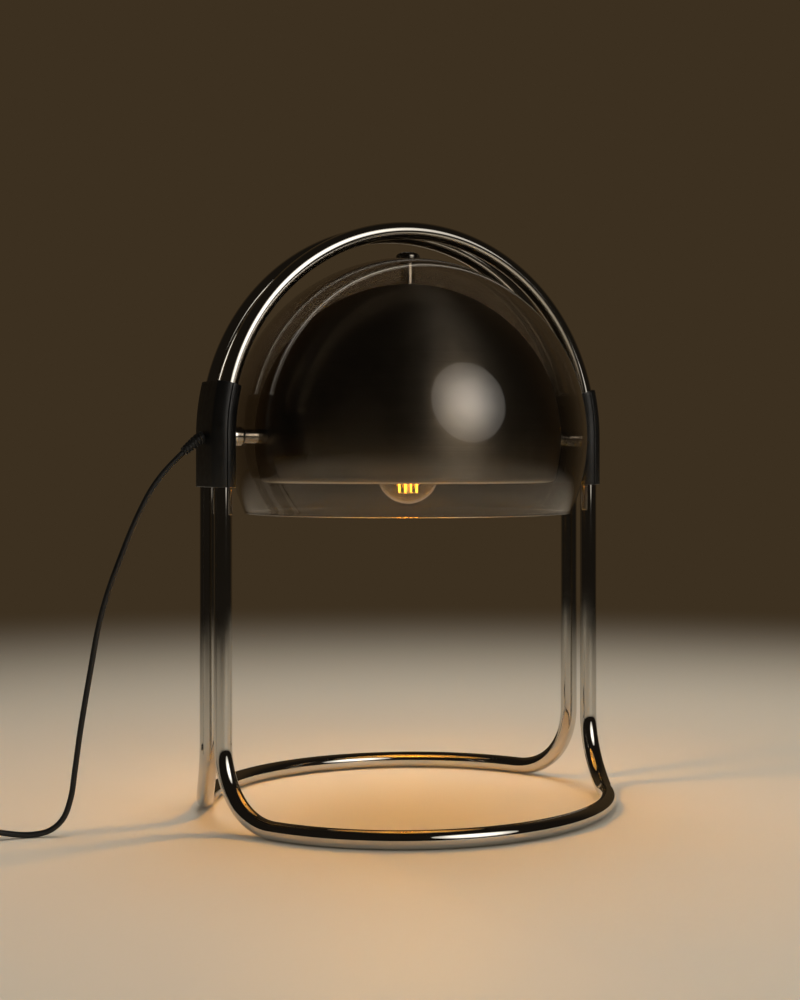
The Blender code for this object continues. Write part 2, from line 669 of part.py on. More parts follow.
def axle_side(word, side, shade):
    """What one side of the axle carries, from the clamp in to the inner dome."""
    on_shade = {"parent": shade, "turn": outward(side)}
    turned(word + "_axle_bush",
           [(flat(AXLE_RADIUS + RUNNING_GAP, ROUND_SIDES), bush_flange_start),
            (BUSH_FLANGE_RADIUS, bush_flange_start),
            (BUSH_FLANGE_RADIUS, bush_flange_start + BUSH_FLANGE),
            (BUSH_RADIUS, bush_flange_start + BUSH_FLANGE),
            (BUSH_RADIUS, pocket_floor), (flat(AXLE_RADIUS + RUNNING_GAP, ROUND_SIDES), pocket_floor)],
           ROUND_SIDES, finish(word + " bush white nylon", (0.8, 0.79, 0.75), 0.0, 0.4),
           at=(0, 0, AXLE_HEIGHT), turn=outward(side))
    turned(word + "_hollow_axle",
           [(flat(AXLE_BORE_RADIUS, ROUND_SIDES), axle_inner_end), (AXLE_RADIUS, axle_inner_end),
            (AXLE_RADIUS, axle_outer_end), (flat(AXLE_BORE_RADIUS, ROUND_SIDES), axle_outer_end)],
           ROUND_SIDES, chrome(word + " axle"), **on_shade)
    turned(word + "_axle_spacer_tube",
           sleeve(axle_hole, AXLE_SPACER_RADIUS, reflector_radius + SEAT_GAP, shade_inside - SEAT_GAP,
                  ROUND_SIDES), ROUND_SIDES, chrome(word + " axle spacer"), **on_shade)
    turned(word + "_axle_collar",
           sleeve(axle_hole, COLLAR_RADIUS, shade_radius + SEAT_GAP, bush_flange_start - SEAT_GAP,
                  ROUND_SIDES), ROUND_SIDES, chrome(word + " axle collar"), **on_shade)
    turned(word + "_friction_washer",
           sleeve(axle_hole, WASHER_RADIUS, pocket_floor + SEAT_GAP,
                  pocket_floor + SEAT_GAP + WASHER_THICKNESS, ROUND_SIDES),
           ROUND_SIDES, zinc(word + " friction washer"), **on_shade)
    for label, start in (("_axle_lock_nut", lock_nut_start), ("_dome_nut", inner_nut_start)):
        hex_nut(word + label, axle_hole, zinc(word + label), parent=shade,
                at=(side * start, 0, 0), turn=outward(side))


def dome_outline(radius, low):
    """Outline of a dome's surface from the top hole down to a height, with its facets on the sphere."""
    step = 2 * math.pi / DOME_SIDES
    reach = flat(radius, DOME_SIDES)
    heights = []
    for k in range(DOME_SIDES // 2):
        rise = math.pi / 2 - (k + 0.5) * step
        heights.append((reach * math.cos(rise), reach * math.sin(rise)))
    points = [(axle_hole, radius)]
    for (r1, z1), (r2, z2) in zip(heights, heights[1:]):
        points.append((r1, z1))
        if z2 <= low:
            share = (z1 - low) / (z1 - z2)
            points.append((r1 + (r2 - r1) * share, low))
            break
    return [(flat(r, DOME_SIDES), z) for r, z in points]


def axle_hole_cutter(shade):
    return rod_cutter("axle hole", axle_hole, -clamp_inner_face, clamp_inner_face, parent=shade,
                      turn=(0, math.pi / 2, 0))


def smoked_dome(shade):
    """The outer dome of smoked acrylic, open below and drilled for the stem and the axle."""
    outside = dome_outline(shade_radius, -SHADE_RIM_DROP)
    inside = dome_outline(shade_inside, -SHADE_RIM_DROP)
    made = turned("smoked_outer_dome", outside + inside[::-1], DOME_SIDES,
                  finish("smoked acrylic", (0.14, 0.11, 0.085), 0.0, 0.05, 0.45), flats_out=True,
                  parent=shade)
    cut(made, axle_hole_cutter(shade))
    return made


def inner_dome(shade):
    """The spun metal dome that shades the bulb; its lower edge is turned in to a small lip."""
    lip_start = REFLECTOR_RIM_DROP - REFLECTOR_LIP_RADIUS
    outside = dome_outline(reflector_radius, -lip_start)
    inside = dome_outline(reflector_inside, -lip_start)
    lip_centre = outside[-1][0] - REFLECTOR_LIP_RADIUS
    lip_outside = []
    lip_inside = []
    for k in range(1, LIP_STEPS + 1):
        angle = k / LIP_STEPS * math.pi / 2
        for points, reach in ((lip_outside, REFLECTOR_LIP_RADIUS),
                              (lip_inside, REFLECTOR_LIP_RADIUS - REFLECTOR_WALL)):
            points.append((lip_centre + reach * math.cos(angle), -lip_start - reach * math.sin(angle)))
    end = lip_centre - REFLECTOR_LIP_FLAT
    lip_outside.append((end, -REFLECTOR_RIM_DROP))
    lip_inside.append((end, -REFLECTOR_RIM_DROP + REFLECTOR_WALL))
    profile = outside + lip_outside + lip_inside[::-1] + inside[::-1]
    made = turned("spun_inner_dome", profile, DOME_SIDES,
                  finish("spun metal", (0.30, 0.28, 0.25), 1.0, 0.32), flats_out=True, parent=shade)
    cut(made, axle_hole_cutter(shade))
    return made


def stem_parts(shade, holder_top):
    """The threaded stem that carries the lamp holder and the domes' top, with its spacer, nut and cap."""
    finial_base = shade_radius + SEAT_GAP
    stem_top = finial_base + FINIAL_BORE_DEPTH - SEAT_GAP
    turned("hollow_stem", sleeve(AXLE_BORE_RADIUS, AXLE_RADIUS, holder_top - STEM_IN_HOLDER, stem_top,
                                 ROUND_SIDES), ROUND_SIDES, zinc("stem"), parent=shade)
    turned("stem_spacer_tube", sleeve(axle_hole, STEM_SPACER_RADIUS, reflector_radius + SEAT_GAP,
                                      shade_inside - SEAT_GAP, ROUND_SIDES),
           ROUND_SIDES, chrome("stem spacer"), parent=shade)
    hex_nut("stem_nut", axle_hole, zinc("stem nut"), parent=shade, at=(0, 0, inner_nut_start))
    crown = []
    rise = FINIAL_HEIGHT - FINIAL_EDGE
    for k in range(5):
        angle = k / 4 * math.pi / 2
        crown.append((FINIAL_RADIUS * math.cos(angle), finial_base + FINIAL_EDGE + rise * math.sin(angle)))
    crown[-1] = (0, finial_base + FINIAL_HEIGHT)
    bore = flat(axle_hole, ROUND_SIDES)
    bore_top = finial_base + FINIAL_BORE_DEPTH
    profile = [(FINIAL_RADIUS, finial_base)] + crown + [(0, bore_top), (bore, bore_top), (bore, finial_base)]
    turned("finial_cap_nut", profile, ROUND_SIDES, chrome("finial cap"), parent=shade)


def bulb_parts(shade, tip):
    """A clear filament bulb: glass, metal screw cap, centre contact, inner stem and light strips."""
    glass_top = tip + BULB_GLASS_LENGTH
    centre = tip + BULB_RADIUS
    neck_rise_share = (0.95, 1.2)
    neck_radius_share = (0.70, 0.47)

    def outline(radius, neck, top):
        points = [(0, centre - radius)]
        for k in range(1, 8):
            angle = -math.pi / 2 + k / 7 * math.radians(122)
            points.append((radius * math.cos(angle), centre + radius * math.sin(angle)))
        for rise, width in zip(neck_rise_share, neck_radius_share):
            points.append((radius * width, centre + BULB_RADIUS * rise))
        points += [(neck, top - NECK_INSET - BULB_GLASS_WALL), (neck, top)]
        return points

    outside = outline(BULB_RADIUS, BULB_NECK_RADIUS, glass_top)
    inside = outline(BULB_RADIUS - BULB_GLASS_WALL, BULB_NECK_RADIUS - BULB_GLASS_WALL, glass_top)
    turned("bulb_glass", outside + inside[::-1], BULB_SIDES,
           finish("clear glass", (0.9, 0.9, 0.88), 0.0, 0.02, 0.25), parent=shade)
    cap_bottom = glass_top - NECK_INSET
    cap_top = cap_bottom + BULB_CAP_LENGTH
    cap_inside = BULB_CAP_RADIUS - BULB_CAP_WALL
    turned("bulb_screw_cap",
           [(cap_inside, cap_bottom), (BULB_CAP_RADIUS, cap_bottom), (BULB_CAP_RADIUS, cap_top),
            (BULB_CONTACT_RADIUS, cap_top), (BULB_CONTACT_RADIUS, cap_top + BULB_CONTACT_HEIGHT),
            (0, cap_top + BULB_CONTACT_HEIGHT), (0, cap_top - BULB_CAP_WALL),
            (cap_inside, cap_top - BULB_CAP_WALL)],
           BULB_SIDES, zinc("bulb cap"), parent=shade)
    strip_top = glass_top - FILAMENT_DEPTH
    strip_bottom = strip_top - 2 * FILAMENT_PLATE - FILAMENT_LENGTH
    plate = FILAMENT_RING_RADIUS + FILAMENT_RADIUS
    flare = BULB_NECK_RADIUS - BULB_GLASS_WALL - SEAT_GAP
    stem = turned("bulb_light_strips",
                  [(0, glass_top), (flare, glass_top), (flare, glass_top - BULB_GLASS_WALL),
                   (BULB_STEM_RADIUS, strip_top + BULB_STEM_RADIUS), (BULB_STEM_RADIUS, strip_top),
                   (plate, strip_top), (plate, strip_top - FILAMENT_PLATE),
                   (BULB_STEM_RADIUS, strip_top - FILAMENT_PLATE),
                   (BULB_STEM_RADIUS, strip_bottom + FILAMENT_PLATE), (plate, strip_bottom + FILAMENT_PLATE),
                   (plate, strip_bottom), (0, strip_bottom)],
                  12, finish("bulb light strips", (0.95, 0.72, 0.3), 0.0, 0.5), parent=shade)
    overlap = FILAMENT_PLATE / 2
    for k in range(FILAMENT_COUNT):
        around = (k + 0.5) * 2 * math.pi / FILAMENT_COUNT
        join(stem, rod_cutter(f"light strip {k}", FILAMENT_RADIUS, strip_bottom + overlap,
                              strip_top - overlap, 6, parent=shade,
                              at=(FILAMENT_RING_RADIUS * math.cos(around),
                                  FILAMENT_RING_RADIUS * math.sin(around), 0)))
    return cap_bottom, cap_top + BULB_CONTACT_HEIGHT


def holder_parts(shade, cap_bottom, contact_top):
    """The lamp holder: skirt, threaded shell, ceramic insert, centre tongue and domed cap."""
    tongue = contact_top + SEAT_GAP
    insert_low = tongue + TONGUE_THICKNESS + SEAT_GAP
    insert_high = insert_low + INSERT_THICKNESS
    skirt_low = cap_bottom + HOLDER_EDGE
    skirt_high = insert_high + HOLDER_EDGE
    skirt_inside = HOLDER_RADIUS - HOLDER_WALL
    turned("holder_centre_tongue", [(0, tongue), (BULB_CONTACT_RADIUS, tongue),
                                    (BULB_CONTACT_RADIUS, tongue + TONGUE_THICKNESS),
                                    (0, tongue + TONGUE_THICKNESS)], 12, brass("holder tongue"),
           parent=shade)
    insert_radius = skirt_inside - SEAT_GAP
    turned("holder_ceramic_insert", [(0, insert_low), (insert_radius, insert_low),
                                     (insert_radius, insert_high), (0, insert_high)],
           BULB_SIDES, finish("holder ceramic", (0.85, 0.83, 0.78), 0.0, 0.3), parent=shade)
    shell_inside = BULB_CAP_RADIUS + SEAT_GAP
    turned("holder_thread_shell",
           sleeve(shell_inside, flat(shell_inside, BULB_SIDES) + THREAD_SHELL_WALL,
                  skirt_low + HOLDER_EDGE, insert_low - SEAT_GAP, BULB_SIDES),
           BULB_SIDES, brass("holder thread shell"), parent=shade)
    turned("holder_skirt", sleeve(skirt_inside, HOLDER_RADIUS, skirt_low, skirt_high, BULB_SIDES),
           BULB_SIDES, black_plastic("holder skirt"), parent=shade)
    cap_low = skirt_high + SEAT_GAP
    cap_high = cap_low + HOLDER_CAP_HEIGHT
    shoulder = cap_low + HOLDER_CAP_STRAIGHT
    neck_hole = flat(axle_hole, BULB_SIDES)
    cap = turned("holder_cap",
                 [(HOLDER_RADIUS, cap_low), (HOLDER_RADIUS, shoulder), (HOLDER_NECK_RADIUS, cap_high),
                  (neck_hole, cap_high), (neck_hole, cap_high - HOLDER_WALL),
                  (skirt_inside, shoulder - HOLDER_WALL), (skirt_inside, cap_low)],
                 BULB_SIDES, black_plastic("holder cap"), parent=shade)
    cut(cap, rod_cutter("lead entry", cord_hole, 0, HOLDER_RADIUS + OVERRUN, 12, parent=shade,
                        at=(0, 0, cap_low + LEAD_ENTRY_HEIGHT), turn=outward(-1)))
    return cap_high, cap_low + LEAD_ENTRY_HEIGHT


def strain_relief(outer_half, run):
    """A tapered boot that follows the cord out of the left clamp, and the hole that the cord takes."""
    run_length = np.concatenate([[0], np.cumsum(np.linalg.norm(np.diff(run, axis=0), axis=1))])
    out_of_clamp = float(np.interp(clamp_outer_face, -run[:, 0], run_length))
    inside = TUBE_DIAMETER / 2
    marks = np.linspace(out_of_clamp - inside, out_of_clamp + BOOT_LENGTH, BOOT_STATIONS + 1)
    centres = [Vector(np.interp(mark, run_length, run[:, k]) for k in range(3)) for mark in marks]
    stations = []
    for k, centre in enumerate(centres):
        travel = (centres[min(k + 1, BOOT_STATIONS)] - centres[max(k - 1, 0)]).normalized()
        share = max(0.0, (marks[k] - out_of_clamp) / BOOT_LENGTH)
        radius = BOOT_BASE_RADIUS + (BOOT_TIP_RADIUS - BOOT_BASE_RADIUS) * share
        stations.append((centre, travel.cross(Vector((0, 1, 0))).normalized(), travel, radius))
    boot = swept("cord_strain_relief", stations, flat(cord_hole, TUBE_SIDES // 2),
                 black_rubber("strain relief"))
    face = clamp_outer_face + SEAT_GAP
    cut(boot, box_cutter("boot base cut", TUBE_DIAMETER * 2, TUBE_DIAMETER * 2, 0, TUBE_DIAMETER * 2,
                         TUBE_WALL, at=(-face, 0, AXLE_HEIGHT), turn=outward(1)))
    aim = centres[2] - centres[0]
    slope = math.atan2(-aim.z, -aim.x)
    hole = rod_cutter("cord exit", cord_hole, -TUBE_DIAMETER, TUBE_DIAMETER, 12,
                      at=Vector(np.interp(out_of_clamp, run_length, run[:, k]) for k in range(3)),
                      turn=(0, -math.pi / 2 - slope, 0))
    cut(outer_half, hole)


def coil_line():
    """A winding in two layers: it spirals in on the table, climbs at the middle and spirals out on top."""
    lower = cord_radius
    whole = COIL_TURNS * 2 * math.pi
    phase = np.linspace(0, whole, COIL_TURNS * LOOP_POINTS + 1)
    middle = whole / 2
    radius = coil_inner_radius + coil_pitch / (2 * math.pi) * np.abs(phase - middle)
    climb = np.clip((phase - middle) / math.pi + 0.5, 0, 1)
    climb = climb * climb * (3 - 2 * climb)
    around = math.pi - phase
    off_tie = np.abs((around - TIE_ANGLE + math.pi) % (2 * math.pi) - math.pi)
    lift = tie_lift * np.clip(np.cos(np.clip(off_tie, 0, math.pi / 3) * 1.5), 0, 1) ** 2
    line = np.column_stack([coil_x + radius * np.cos(around), coil_y + radius * np.sin(around),
                            lower + coil_pitch * climb + lift])
    ends = [line[0] - [0, CORD_DIAMETER, 0], line[-1] + [0, CORD_DIAMETER, 0]]
    return np.vstack([ends[0], line, ends[1]])


def least_gap(line):
    """Least distance between the surfaces of turns of the winding that aren't next to each other along it."""
    far = round(LOOP_POINTS * 0.6)
    least = math.inf
    for k in range(len(line) - far):
        least = min(least, float(np.linalg.norm(line[k + far:] - line[k], axis=1).min()))
    return least - CORD_DIAMETER


def coil_tie():
    """A flat band round the bundle of turns, standing at one place of the coil."""
    turn_at_tie = (math.pi - TIE_ANGLE) / (2 * math.pi)
    passes = [turn + turn_at_tie for turn in range(COIL_TURNS)]
    radii = [coil_inner_radius + coil_pitch * abs(p - COIL_TURNS / 2) for p in passes]
    low = tie_lift - TIE_GAP
    high = tie_lift + CORD_DIAMETER + coil_pitch + TIE_GAP
    inner_length = max(radii) - min(radii) + CORD_DIAMETER + 4 * TIE_GAP
    middle = (max(radii) + min(radii)) / 2
    inner = rounded_outline(inner_length, high - low, TIE_CORNER)
    outer = rounded_outline(inner_length + 2 * TIE_THICKNESS, high - low + 2 * TIE_THICKNESS,
                            TIE_CORNER + TIE_THICKNESS)
    shape = bmesh.new()
    framed_prism(shape, outer, inner, -TIE_WIDTH / 2, TIE_WIDTH / 2)
    at = (coil_x + middle * math.cos(TIE_ANGLE), coil_y + middle * math.sin(TIE_ANGLE),
          (high + low) / 2)
    close("coil_tie", shape, black_rubber("coil tie"), at=at, turn=(math.pi / 2, 0, TIE_ANGLE))


def cords():
    """The cord outside the lamp, in its stretches, and the lead inside it."""
    coating = black_rubber("cord")
    hang = [(x, y, AXLE_HEIGHT * share) for (x, y), share in zip(CORD_HANG_PLAN, CORD_HANG_HEIGHT_SHARE)]
    run = smooth_line(from_left_tubes(hang + CORD_FLOOR_ROUTE), CORD_STEP)
    link = smooth_line(from_left_tubes(CORD_LINK_ROUTE), CORD_STEP)
    tail = smooth_line(from_left_tubes(CORD_TAIL_ROUTE), CORD_STEP)
    coil = coil_line()
    cord_tube("cord_run", run, coating.copy())
    cord_tube("cord_link", link, coating.copy())
    cord_tube("cord_coil", coil, coating.copy(), 1)
    cord_tube("cord_tail", tail, coating.copy())
    through_switch = float(np.linalg.norm(link[0] - run[-1]))
    total = through_switch + sum(length_of(line) for line in (run, link, coil, tail))
    print(f"cord length {total:.3f} m, least gap in the coil {least_gap(coil) * 1000:.2f} mm")
    return run


def internal_lead(shade, entry_height):
    """The lead from the axle's outer end to the lamp holder, which turns with the shade."""
    start = axle_inner_end - LEAD_STRAIGHT
    end = HOLDER_RADIUS - LEAD_IN_HOLDER
    route = [(-axle_outer_end - LEAD_END_GAP, 0, 0), (-(axle_outer_end + start) / 2, 0, 0)]
    for way, rise in zip(LEAD_WAY_SHARE, LEAD_RISE_SHARE):
        route.append((-start + (start - end) * way, 0, entry_height * rise))
    made = cord_tube("internal_lead", smooth_line(route, CORD_STEP), black_rubber("internal lead"))
    made.parent = shade


def switch_screw_places():
    return ((SWITCH_SCREW_X, SWITCH_SCREW_Y), (-SWITCH_SCREW_X, -SWITCH_SCREW_Y))


def switch():
    """The in-line switch: base, cover, rocker on its pin, screws and terminals."""
    here = pivot("switch place", (switch_x, switch_y, 0), (0, 0, switch_heading))
    outline = rounded_outline(SWITCH_LENGTH, SWITCH_WIDTH, SWITCH_CORNER)
    shells = []
    for name, low, high in (("switch_base", 0, SWITCH_SPLIT - SEAT_GAP / 2),
                            ("switch_cover", SWITCH_SPLIT + SEAT_GAP / 2, SWITCH_HEIGHT)):
        shape = bmesh.new()
        prism(shape, outline, low, high)
        shells.append(close(name, shape, black_plastic(name.replace("_", " ")), parent=here))
    base, cover = shells
    cavity = box_cutter("switch cavity", SWITCH_CAVITY_LENGTH, SWITCH_CAVITY_WIDTH, SWITCH_FLOOR,
                        SWITCH_CAVITY_TOP, SEAT_GAP, parent=here)
    inlet = rod_cutter("switch cord way", cord_hole, -SWITCH_LENGTH, SWITCH_LENGTH, 12, parent=here,
                       at=(0, 0, SWITCH_SPLIT), turn=(0, math.pi / 2, 0))
    window = box_cutter("rocker window", ROCKER_LENGTH + 2 * (ROCKER_GAP + SEAT_GAP) + SEAT_GAP,
                        ROCKER_WIDTH + 2 * SEAT_GAP, SWITCH_SPLIT + SWITCH_FLOOR,
                        SWITCH_HEIGHT + OVERRUN, SEAT_GAP, parent=here)
    pin_way = rod_cutter("pin way", PIN_RADIUS + SEAT_GAP, -PIN_LENGTH / 2 - SEAT_GAP,
                         PIN_LENGTH / 2 + SEAT_GAP, 12, parent=here, at=(0, 0, ROCKER_PIVOT_HEIGHT),
                         turn=(math.pi / 2, 0, 0))
    for target in (base, cover):
        cut(target, cavity)
        cut(target, inlet)
    cut(cover, window)
    cut(cover, pin_way)
    for number, (x, y) in enumerate(switch_screw_places()):
        hole = stepped_cutter(f"switch screw hole {number}", -OVERRUN,
                              [(SWITCH_SCREW_HEAD_RADIUS + SEAT_GAP, SWITCH_SCREW_SINK),
                               (SWITCH_SCREW_RADIUS + SEAT_GAP,
                                SWITCH_SCREW_SINK + SWITCH_SCREW_LENGTH + SEAT_GAP)], 12,
                              parent=here, at=(x, y, 0))
        cut(base, hole)
        cut(cover, hole)
    switch_screws(here)
    rocker(pivot("rocker place", (0, 0, ROCKER_PIVOT_HEIGHT), (0, ROCKER_TILT, 0), here))
    contact_strip(here)


def contact_strip(here):
    """The brass strip that carries the unswitched wire through, with a terminal block at each end."""
    low = SWITCH_FLOOR + SEAT_GAP
    end = TERMINAL_OFFSET + TERMINAL_LENGTH / 2
    inner = TERMINAL_OFFSET - TERMINAL_LENGTH / 2
    thin = low + TONGUE_THICKNESS
    thick = low + TERMINAL_HEIGHT
    outline = [(-end, low), (end, low), (end, thick), (inner, thick), (inner, thin), (-inner, thin),
               (-inner, thick), (-end, thick)]
    close("switch_contact_strip", upright_prism(outline, TERMINAL_WIDTH), brass("switch contact strip"),
          parent=here)


def upright_prism(outline, width):
    """A prism on an outline of (x, z) points, centred across Y."""
    shape = bmesh.new()
    prism(shape, outline, -width / 2, width / 2)
    bmesh.ops.rotate(shape, verts=shape.verts, cent=(0, 0, 0), matrix=Matrix.Rotation(math.pi / 2, 3, "X"))
    return shape


def switch_screws(here):
    """Two screws that hold the switch together, put in from below."""
    profile = screw_outline(SWITCH_SCREW_RADIUS, SWITCH_SCREW_LENGTH, SWITCH_SCREW_HEAD_RADIUS,
                            SWITCH_SCREW_HEAD_HEIGHT)
    for name, (x, y) in zip(("switch_outlet_screw", "switch_inlet_screw"), switch_screw_places()):
        turned(name, profile, 10, zinc(name), parent=here, at=(x, y, SWITCH_SCREW_SINK - SEAT_GAP))


def rocker(where):
    """The rocker: two finger faces that slope to a low waist, moulded with its pivot pin."""
    half = ROCKER_LENGTH / 2
    outline = [(-half, -ROCKER_DEPTH), (half, -ROCKER_DEPTH), (half, ROCKER_TIP), (half / 2, ROCKER_WAIST),
               (0, ROCKER_WAIST - ROCKER_GAP), (-half / 2, ROCKER_WAIST), (-half, ROCKER_TIP)]
    made = close("switch_rocker", upright_prism(outline, ROCKER_WIDTH), black_plastic("switch rocker"),
                 parent=where)
    join(made, turned("rocker pin", [(0, -PIN_LENGTH / 2), (PIN_RADIUS, -PIN_LENGTH / 2),
                                     (PIN_RADIUS, PIN_LENGTH / 2), (0, PIN_LENGTH / 2)], 10, None,
                      parent=where, turn=(math.pi / 2, 0, 0)))


def plug():
    """A flat two-pin plug with a short tapered boot at its rear."""
    here = pivot("plug place", (plug_x, plug_y, PLUG_THICKNESS / 2))
    half = PLUG_WIDTH / 2
    rear = PLUG_REAR_WIDTH / 2
    outline = [(0, -rear), (PLUG_SHOULDER, -half), (PLUG_LENGTH, -half), (PLUG_LENGTH, half),
               (PLUG_SHOULDER, half), (0, rear)]
    shape = bmesh.new()
    prism(shape, outline, -PLUG_THICKNESS / 2, PLUG_THICKNESS / 2)
    upright = [e for e in shape.edges if abs(e.verts[0].co.z - e.verts[1].co.z) > PLUG_THICKNESS / 2]
    bmesh.ops.bevel(shape, geom=upright, offset=PLUG_CORNER, segments=3, affect="EDGES", profile=0.5)
    body = close("plug_body", shape, black_plastic("plug body"), parent=here)
    along = {"parent": here, "turn": (0, math.pi / 2, 0)}
    join(body, turned("plug boot", [(0, -PLUG_BOOT_LENGTH), (PLUG_BOOT_TIP_RADIUS, -PLUG_BOOT_LENGTH),
                                    (PLUG_BOOT_RADIUS, 0), (PLUG_BOOT_RADIUS, PLUG_CORNER),
                                    (0, PLUG_CORNER)], 12, None, **along))
    cut(body, rod_cutter("plug cord way", cord_hole, -PLUG_BOOT_LENGTH - OVERRUN, PLUG_CORD_DEPTH, 12,
                         **along))
    pin_start = PLUG_LENGTH - PLUG_PIN_DEPTH
    for side in (-1, 1):
        cut(body, rod_cutter(f"plug pin way {side}", PLUG_PIN_RADIUS + SEAT_GAP, pin_start,
                             PLUG_LENGTH + OVERRUN, 12, parent=here,
                             at=(0, side * PLUG_PIN_SPACING / 2, 0), turn=(0, math.pi / 2, 0)))
    low = pin_start + SEAT_GAP
    high = PLUG_LENGTH + PLUG_PIN_LENGTH
    profile = [(0, low), (PLUG_PIN_RADIUS, low), (PLUG_PIN_RADIUS, high - PLUG_PIN_RADIUS),
               (PLUG_PIN_RADIUS / 2, high), (0, high)]
    for name, side in (("plug_front_pin", -1), ("plug_rear_pin", 1)):
        turned(name, profile, 12, brass(name), parent=here, at=(0, side * PLUG_PIN_SPACING / 2, 0),
               turn=(0, math.pi / 2, 0))


def build():
    for row, word in ((-half_spacing, "front"), (half_spacing, "rear")):
        arch_tube(word + "_arch_tube", row)
        base_tube(word + "_base_tube", row)
    tube_spigots()
    shade = pivot("shade tilt axis", (0, 0, AXLE_HEIGHT))
    left_outer = clamp("left", -1)
    clamp("right", 1)
    clamp_screws()
    for word, side in (("left", -1), ("right", 1)):
        axle_side(word, side, shade)
    smoked_dome(shade)
    inner_dome(shade)
    cap_bottom, contact_top = bulb_parts(shade, -BULB_TIP_DROP)
    holder_top, lead_entry = holder_parts(shade, cap_bottom, contact_top)
    stem_parts(shade, holder_top)
    internal_lead(shade, lead_entry)
    run = cords()
    strain_relief(left_outer, run)
    coil_tie()
    switch()
    plug()


for old in list(bpy.data.objects):
    bpy.data.objects.remove(old, do_unlink=True)
build()
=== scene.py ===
import json
import math

import bmesh
import bpy
import numpy as np
from mathutils import Matrix, Vector

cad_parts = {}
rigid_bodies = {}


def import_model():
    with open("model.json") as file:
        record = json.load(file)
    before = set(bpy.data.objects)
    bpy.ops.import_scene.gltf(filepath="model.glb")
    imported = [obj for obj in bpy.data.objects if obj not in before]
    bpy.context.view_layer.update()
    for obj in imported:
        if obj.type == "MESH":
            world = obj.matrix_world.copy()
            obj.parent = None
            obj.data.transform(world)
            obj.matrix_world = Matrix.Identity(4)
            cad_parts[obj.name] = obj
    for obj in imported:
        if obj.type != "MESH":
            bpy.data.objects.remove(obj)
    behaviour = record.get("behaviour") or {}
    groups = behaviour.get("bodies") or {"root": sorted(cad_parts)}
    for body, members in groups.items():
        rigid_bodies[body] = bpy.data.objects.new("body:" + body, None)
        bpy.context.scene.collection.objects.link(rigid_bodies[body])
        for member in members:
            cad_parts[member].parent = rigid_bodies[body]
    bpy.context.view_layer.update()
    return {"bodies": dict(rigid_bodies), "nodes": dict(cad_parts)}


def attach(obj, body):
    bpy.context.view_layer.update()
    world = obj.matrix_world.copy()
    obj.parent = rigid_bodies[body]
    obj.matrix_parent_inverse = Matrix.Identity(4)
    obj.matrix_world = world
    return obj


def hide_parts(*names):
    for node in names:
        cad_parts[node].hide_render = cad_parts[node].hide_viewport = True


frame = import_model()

scene = bpy.context.scene
scene.view_settings.view_transform = "Standard"
nodes = frame["nodes"]
axleHeight = 0.3432

# camera, fitted to the photograph: level, at the lamp's front left
cameraData = bpy.data.cameras.new("camera")
cameraData.lens = 58.853
cameraData.sensor_width = 36
cameraData.shift_x = -0.0353
cameraData.shift_y = -0.0366
camera = bpy.data.objects.new("camera", cameraData)
camera.location = (-0.7152, -1.3569, 0.3189)
camera.rotation_euler = (math.pi / 2, 0, -math.radians(28.75))
scene.collection.objects.link(camera)
scene.camera = camera


def linear(code):
    parts = [int(code[k:k + 2], 16) / 255 for k in (1, 3, 5)]
    return [c / 12.92 if c <= 0.04045 else ((c + 0.055) / 1.055) ** 2.4 for c in parts] + [1.0]


def addNode(tree, kind, settings=None, links=None):
    # a setting is either one of the node's own options or the value of a socket, by name or number
    node = tree.nodes.new("ShaderNode" + kind)
    for key, value in (settings or {}).items():
        if isinstance(key, str) and hasattr(node, key):
            setattr(node, key, value)
        else:
            node.inputs[key].default_value = value
    for key, socket in (links or {}).items():
        tree.links.new(socket, node.inputs[key])
    return node


def newMaterial(name, sockets):
    made = bpy.data.materials.new(name)
    made.use_nodes = True
    tree = made.node_tree
    shader = tree.nodes["Principled BSDF"]
    for key, value in sockets.items():
        shader.inputs[key].default_value = value
    return made, tree, shader


def ramp(tree, factor, stops):
    node = addNode(tree, "ValToRGB", links={"Fac": factor})
    elements = node.color_ramp.elements
    while len(elements) < len(stops):
        elements.new(0.5)
    for element, (place, colour) in zip(elements, stops):
        element.position = place
        element.color = linear(colour) if isinstance(colour, str) else [colour] * 3 + [1.0]
    return node.outputs["Color"]


def noise(tree, size, detail=3, stretch=None):
    # size of the largest blobs in metres; stretch squeezes the pattern along an axis
    where = addNode(tree, "TexCoord").outputs["Object"]
    if stretch:
        where = addNode(tree, "Mapping", {"Scale": stretch}, {"Vector": where}).outputs["Vector"]
    return addNode(tree, "TexNoise", {"Scale": 1 / size, "Detail": detail}, {"Vector": where}).outputs["Fac"]


def bump(tree, shader, height, depth, strength=1.0):
    node = addNode(tree, "Bump", {"Strength": strength, "Distance": depth}, {"Height": height})
    tree.links.new(node.outputs["Normal"], shader.inputs["Normal"])


def chrome(name, colour, low, high):
    # bright nickel-chrome plate on drawn steel: nearly mirror, faint polishing haze and fingerprints
    made, tree, shader = newMaterial(name, {"Metallic": 1.0, "Base Color": linear(colour)})
    haze = ramp(tree, noise(tree, 0.035, 4), [(0.35, low), (0.75, high)])
    tree.links.new(haze, shader.inputs["Roughness"])
    bump(tree, shader, noise(tree, 0.012, 2), 0.00002, 0.35)
    return made


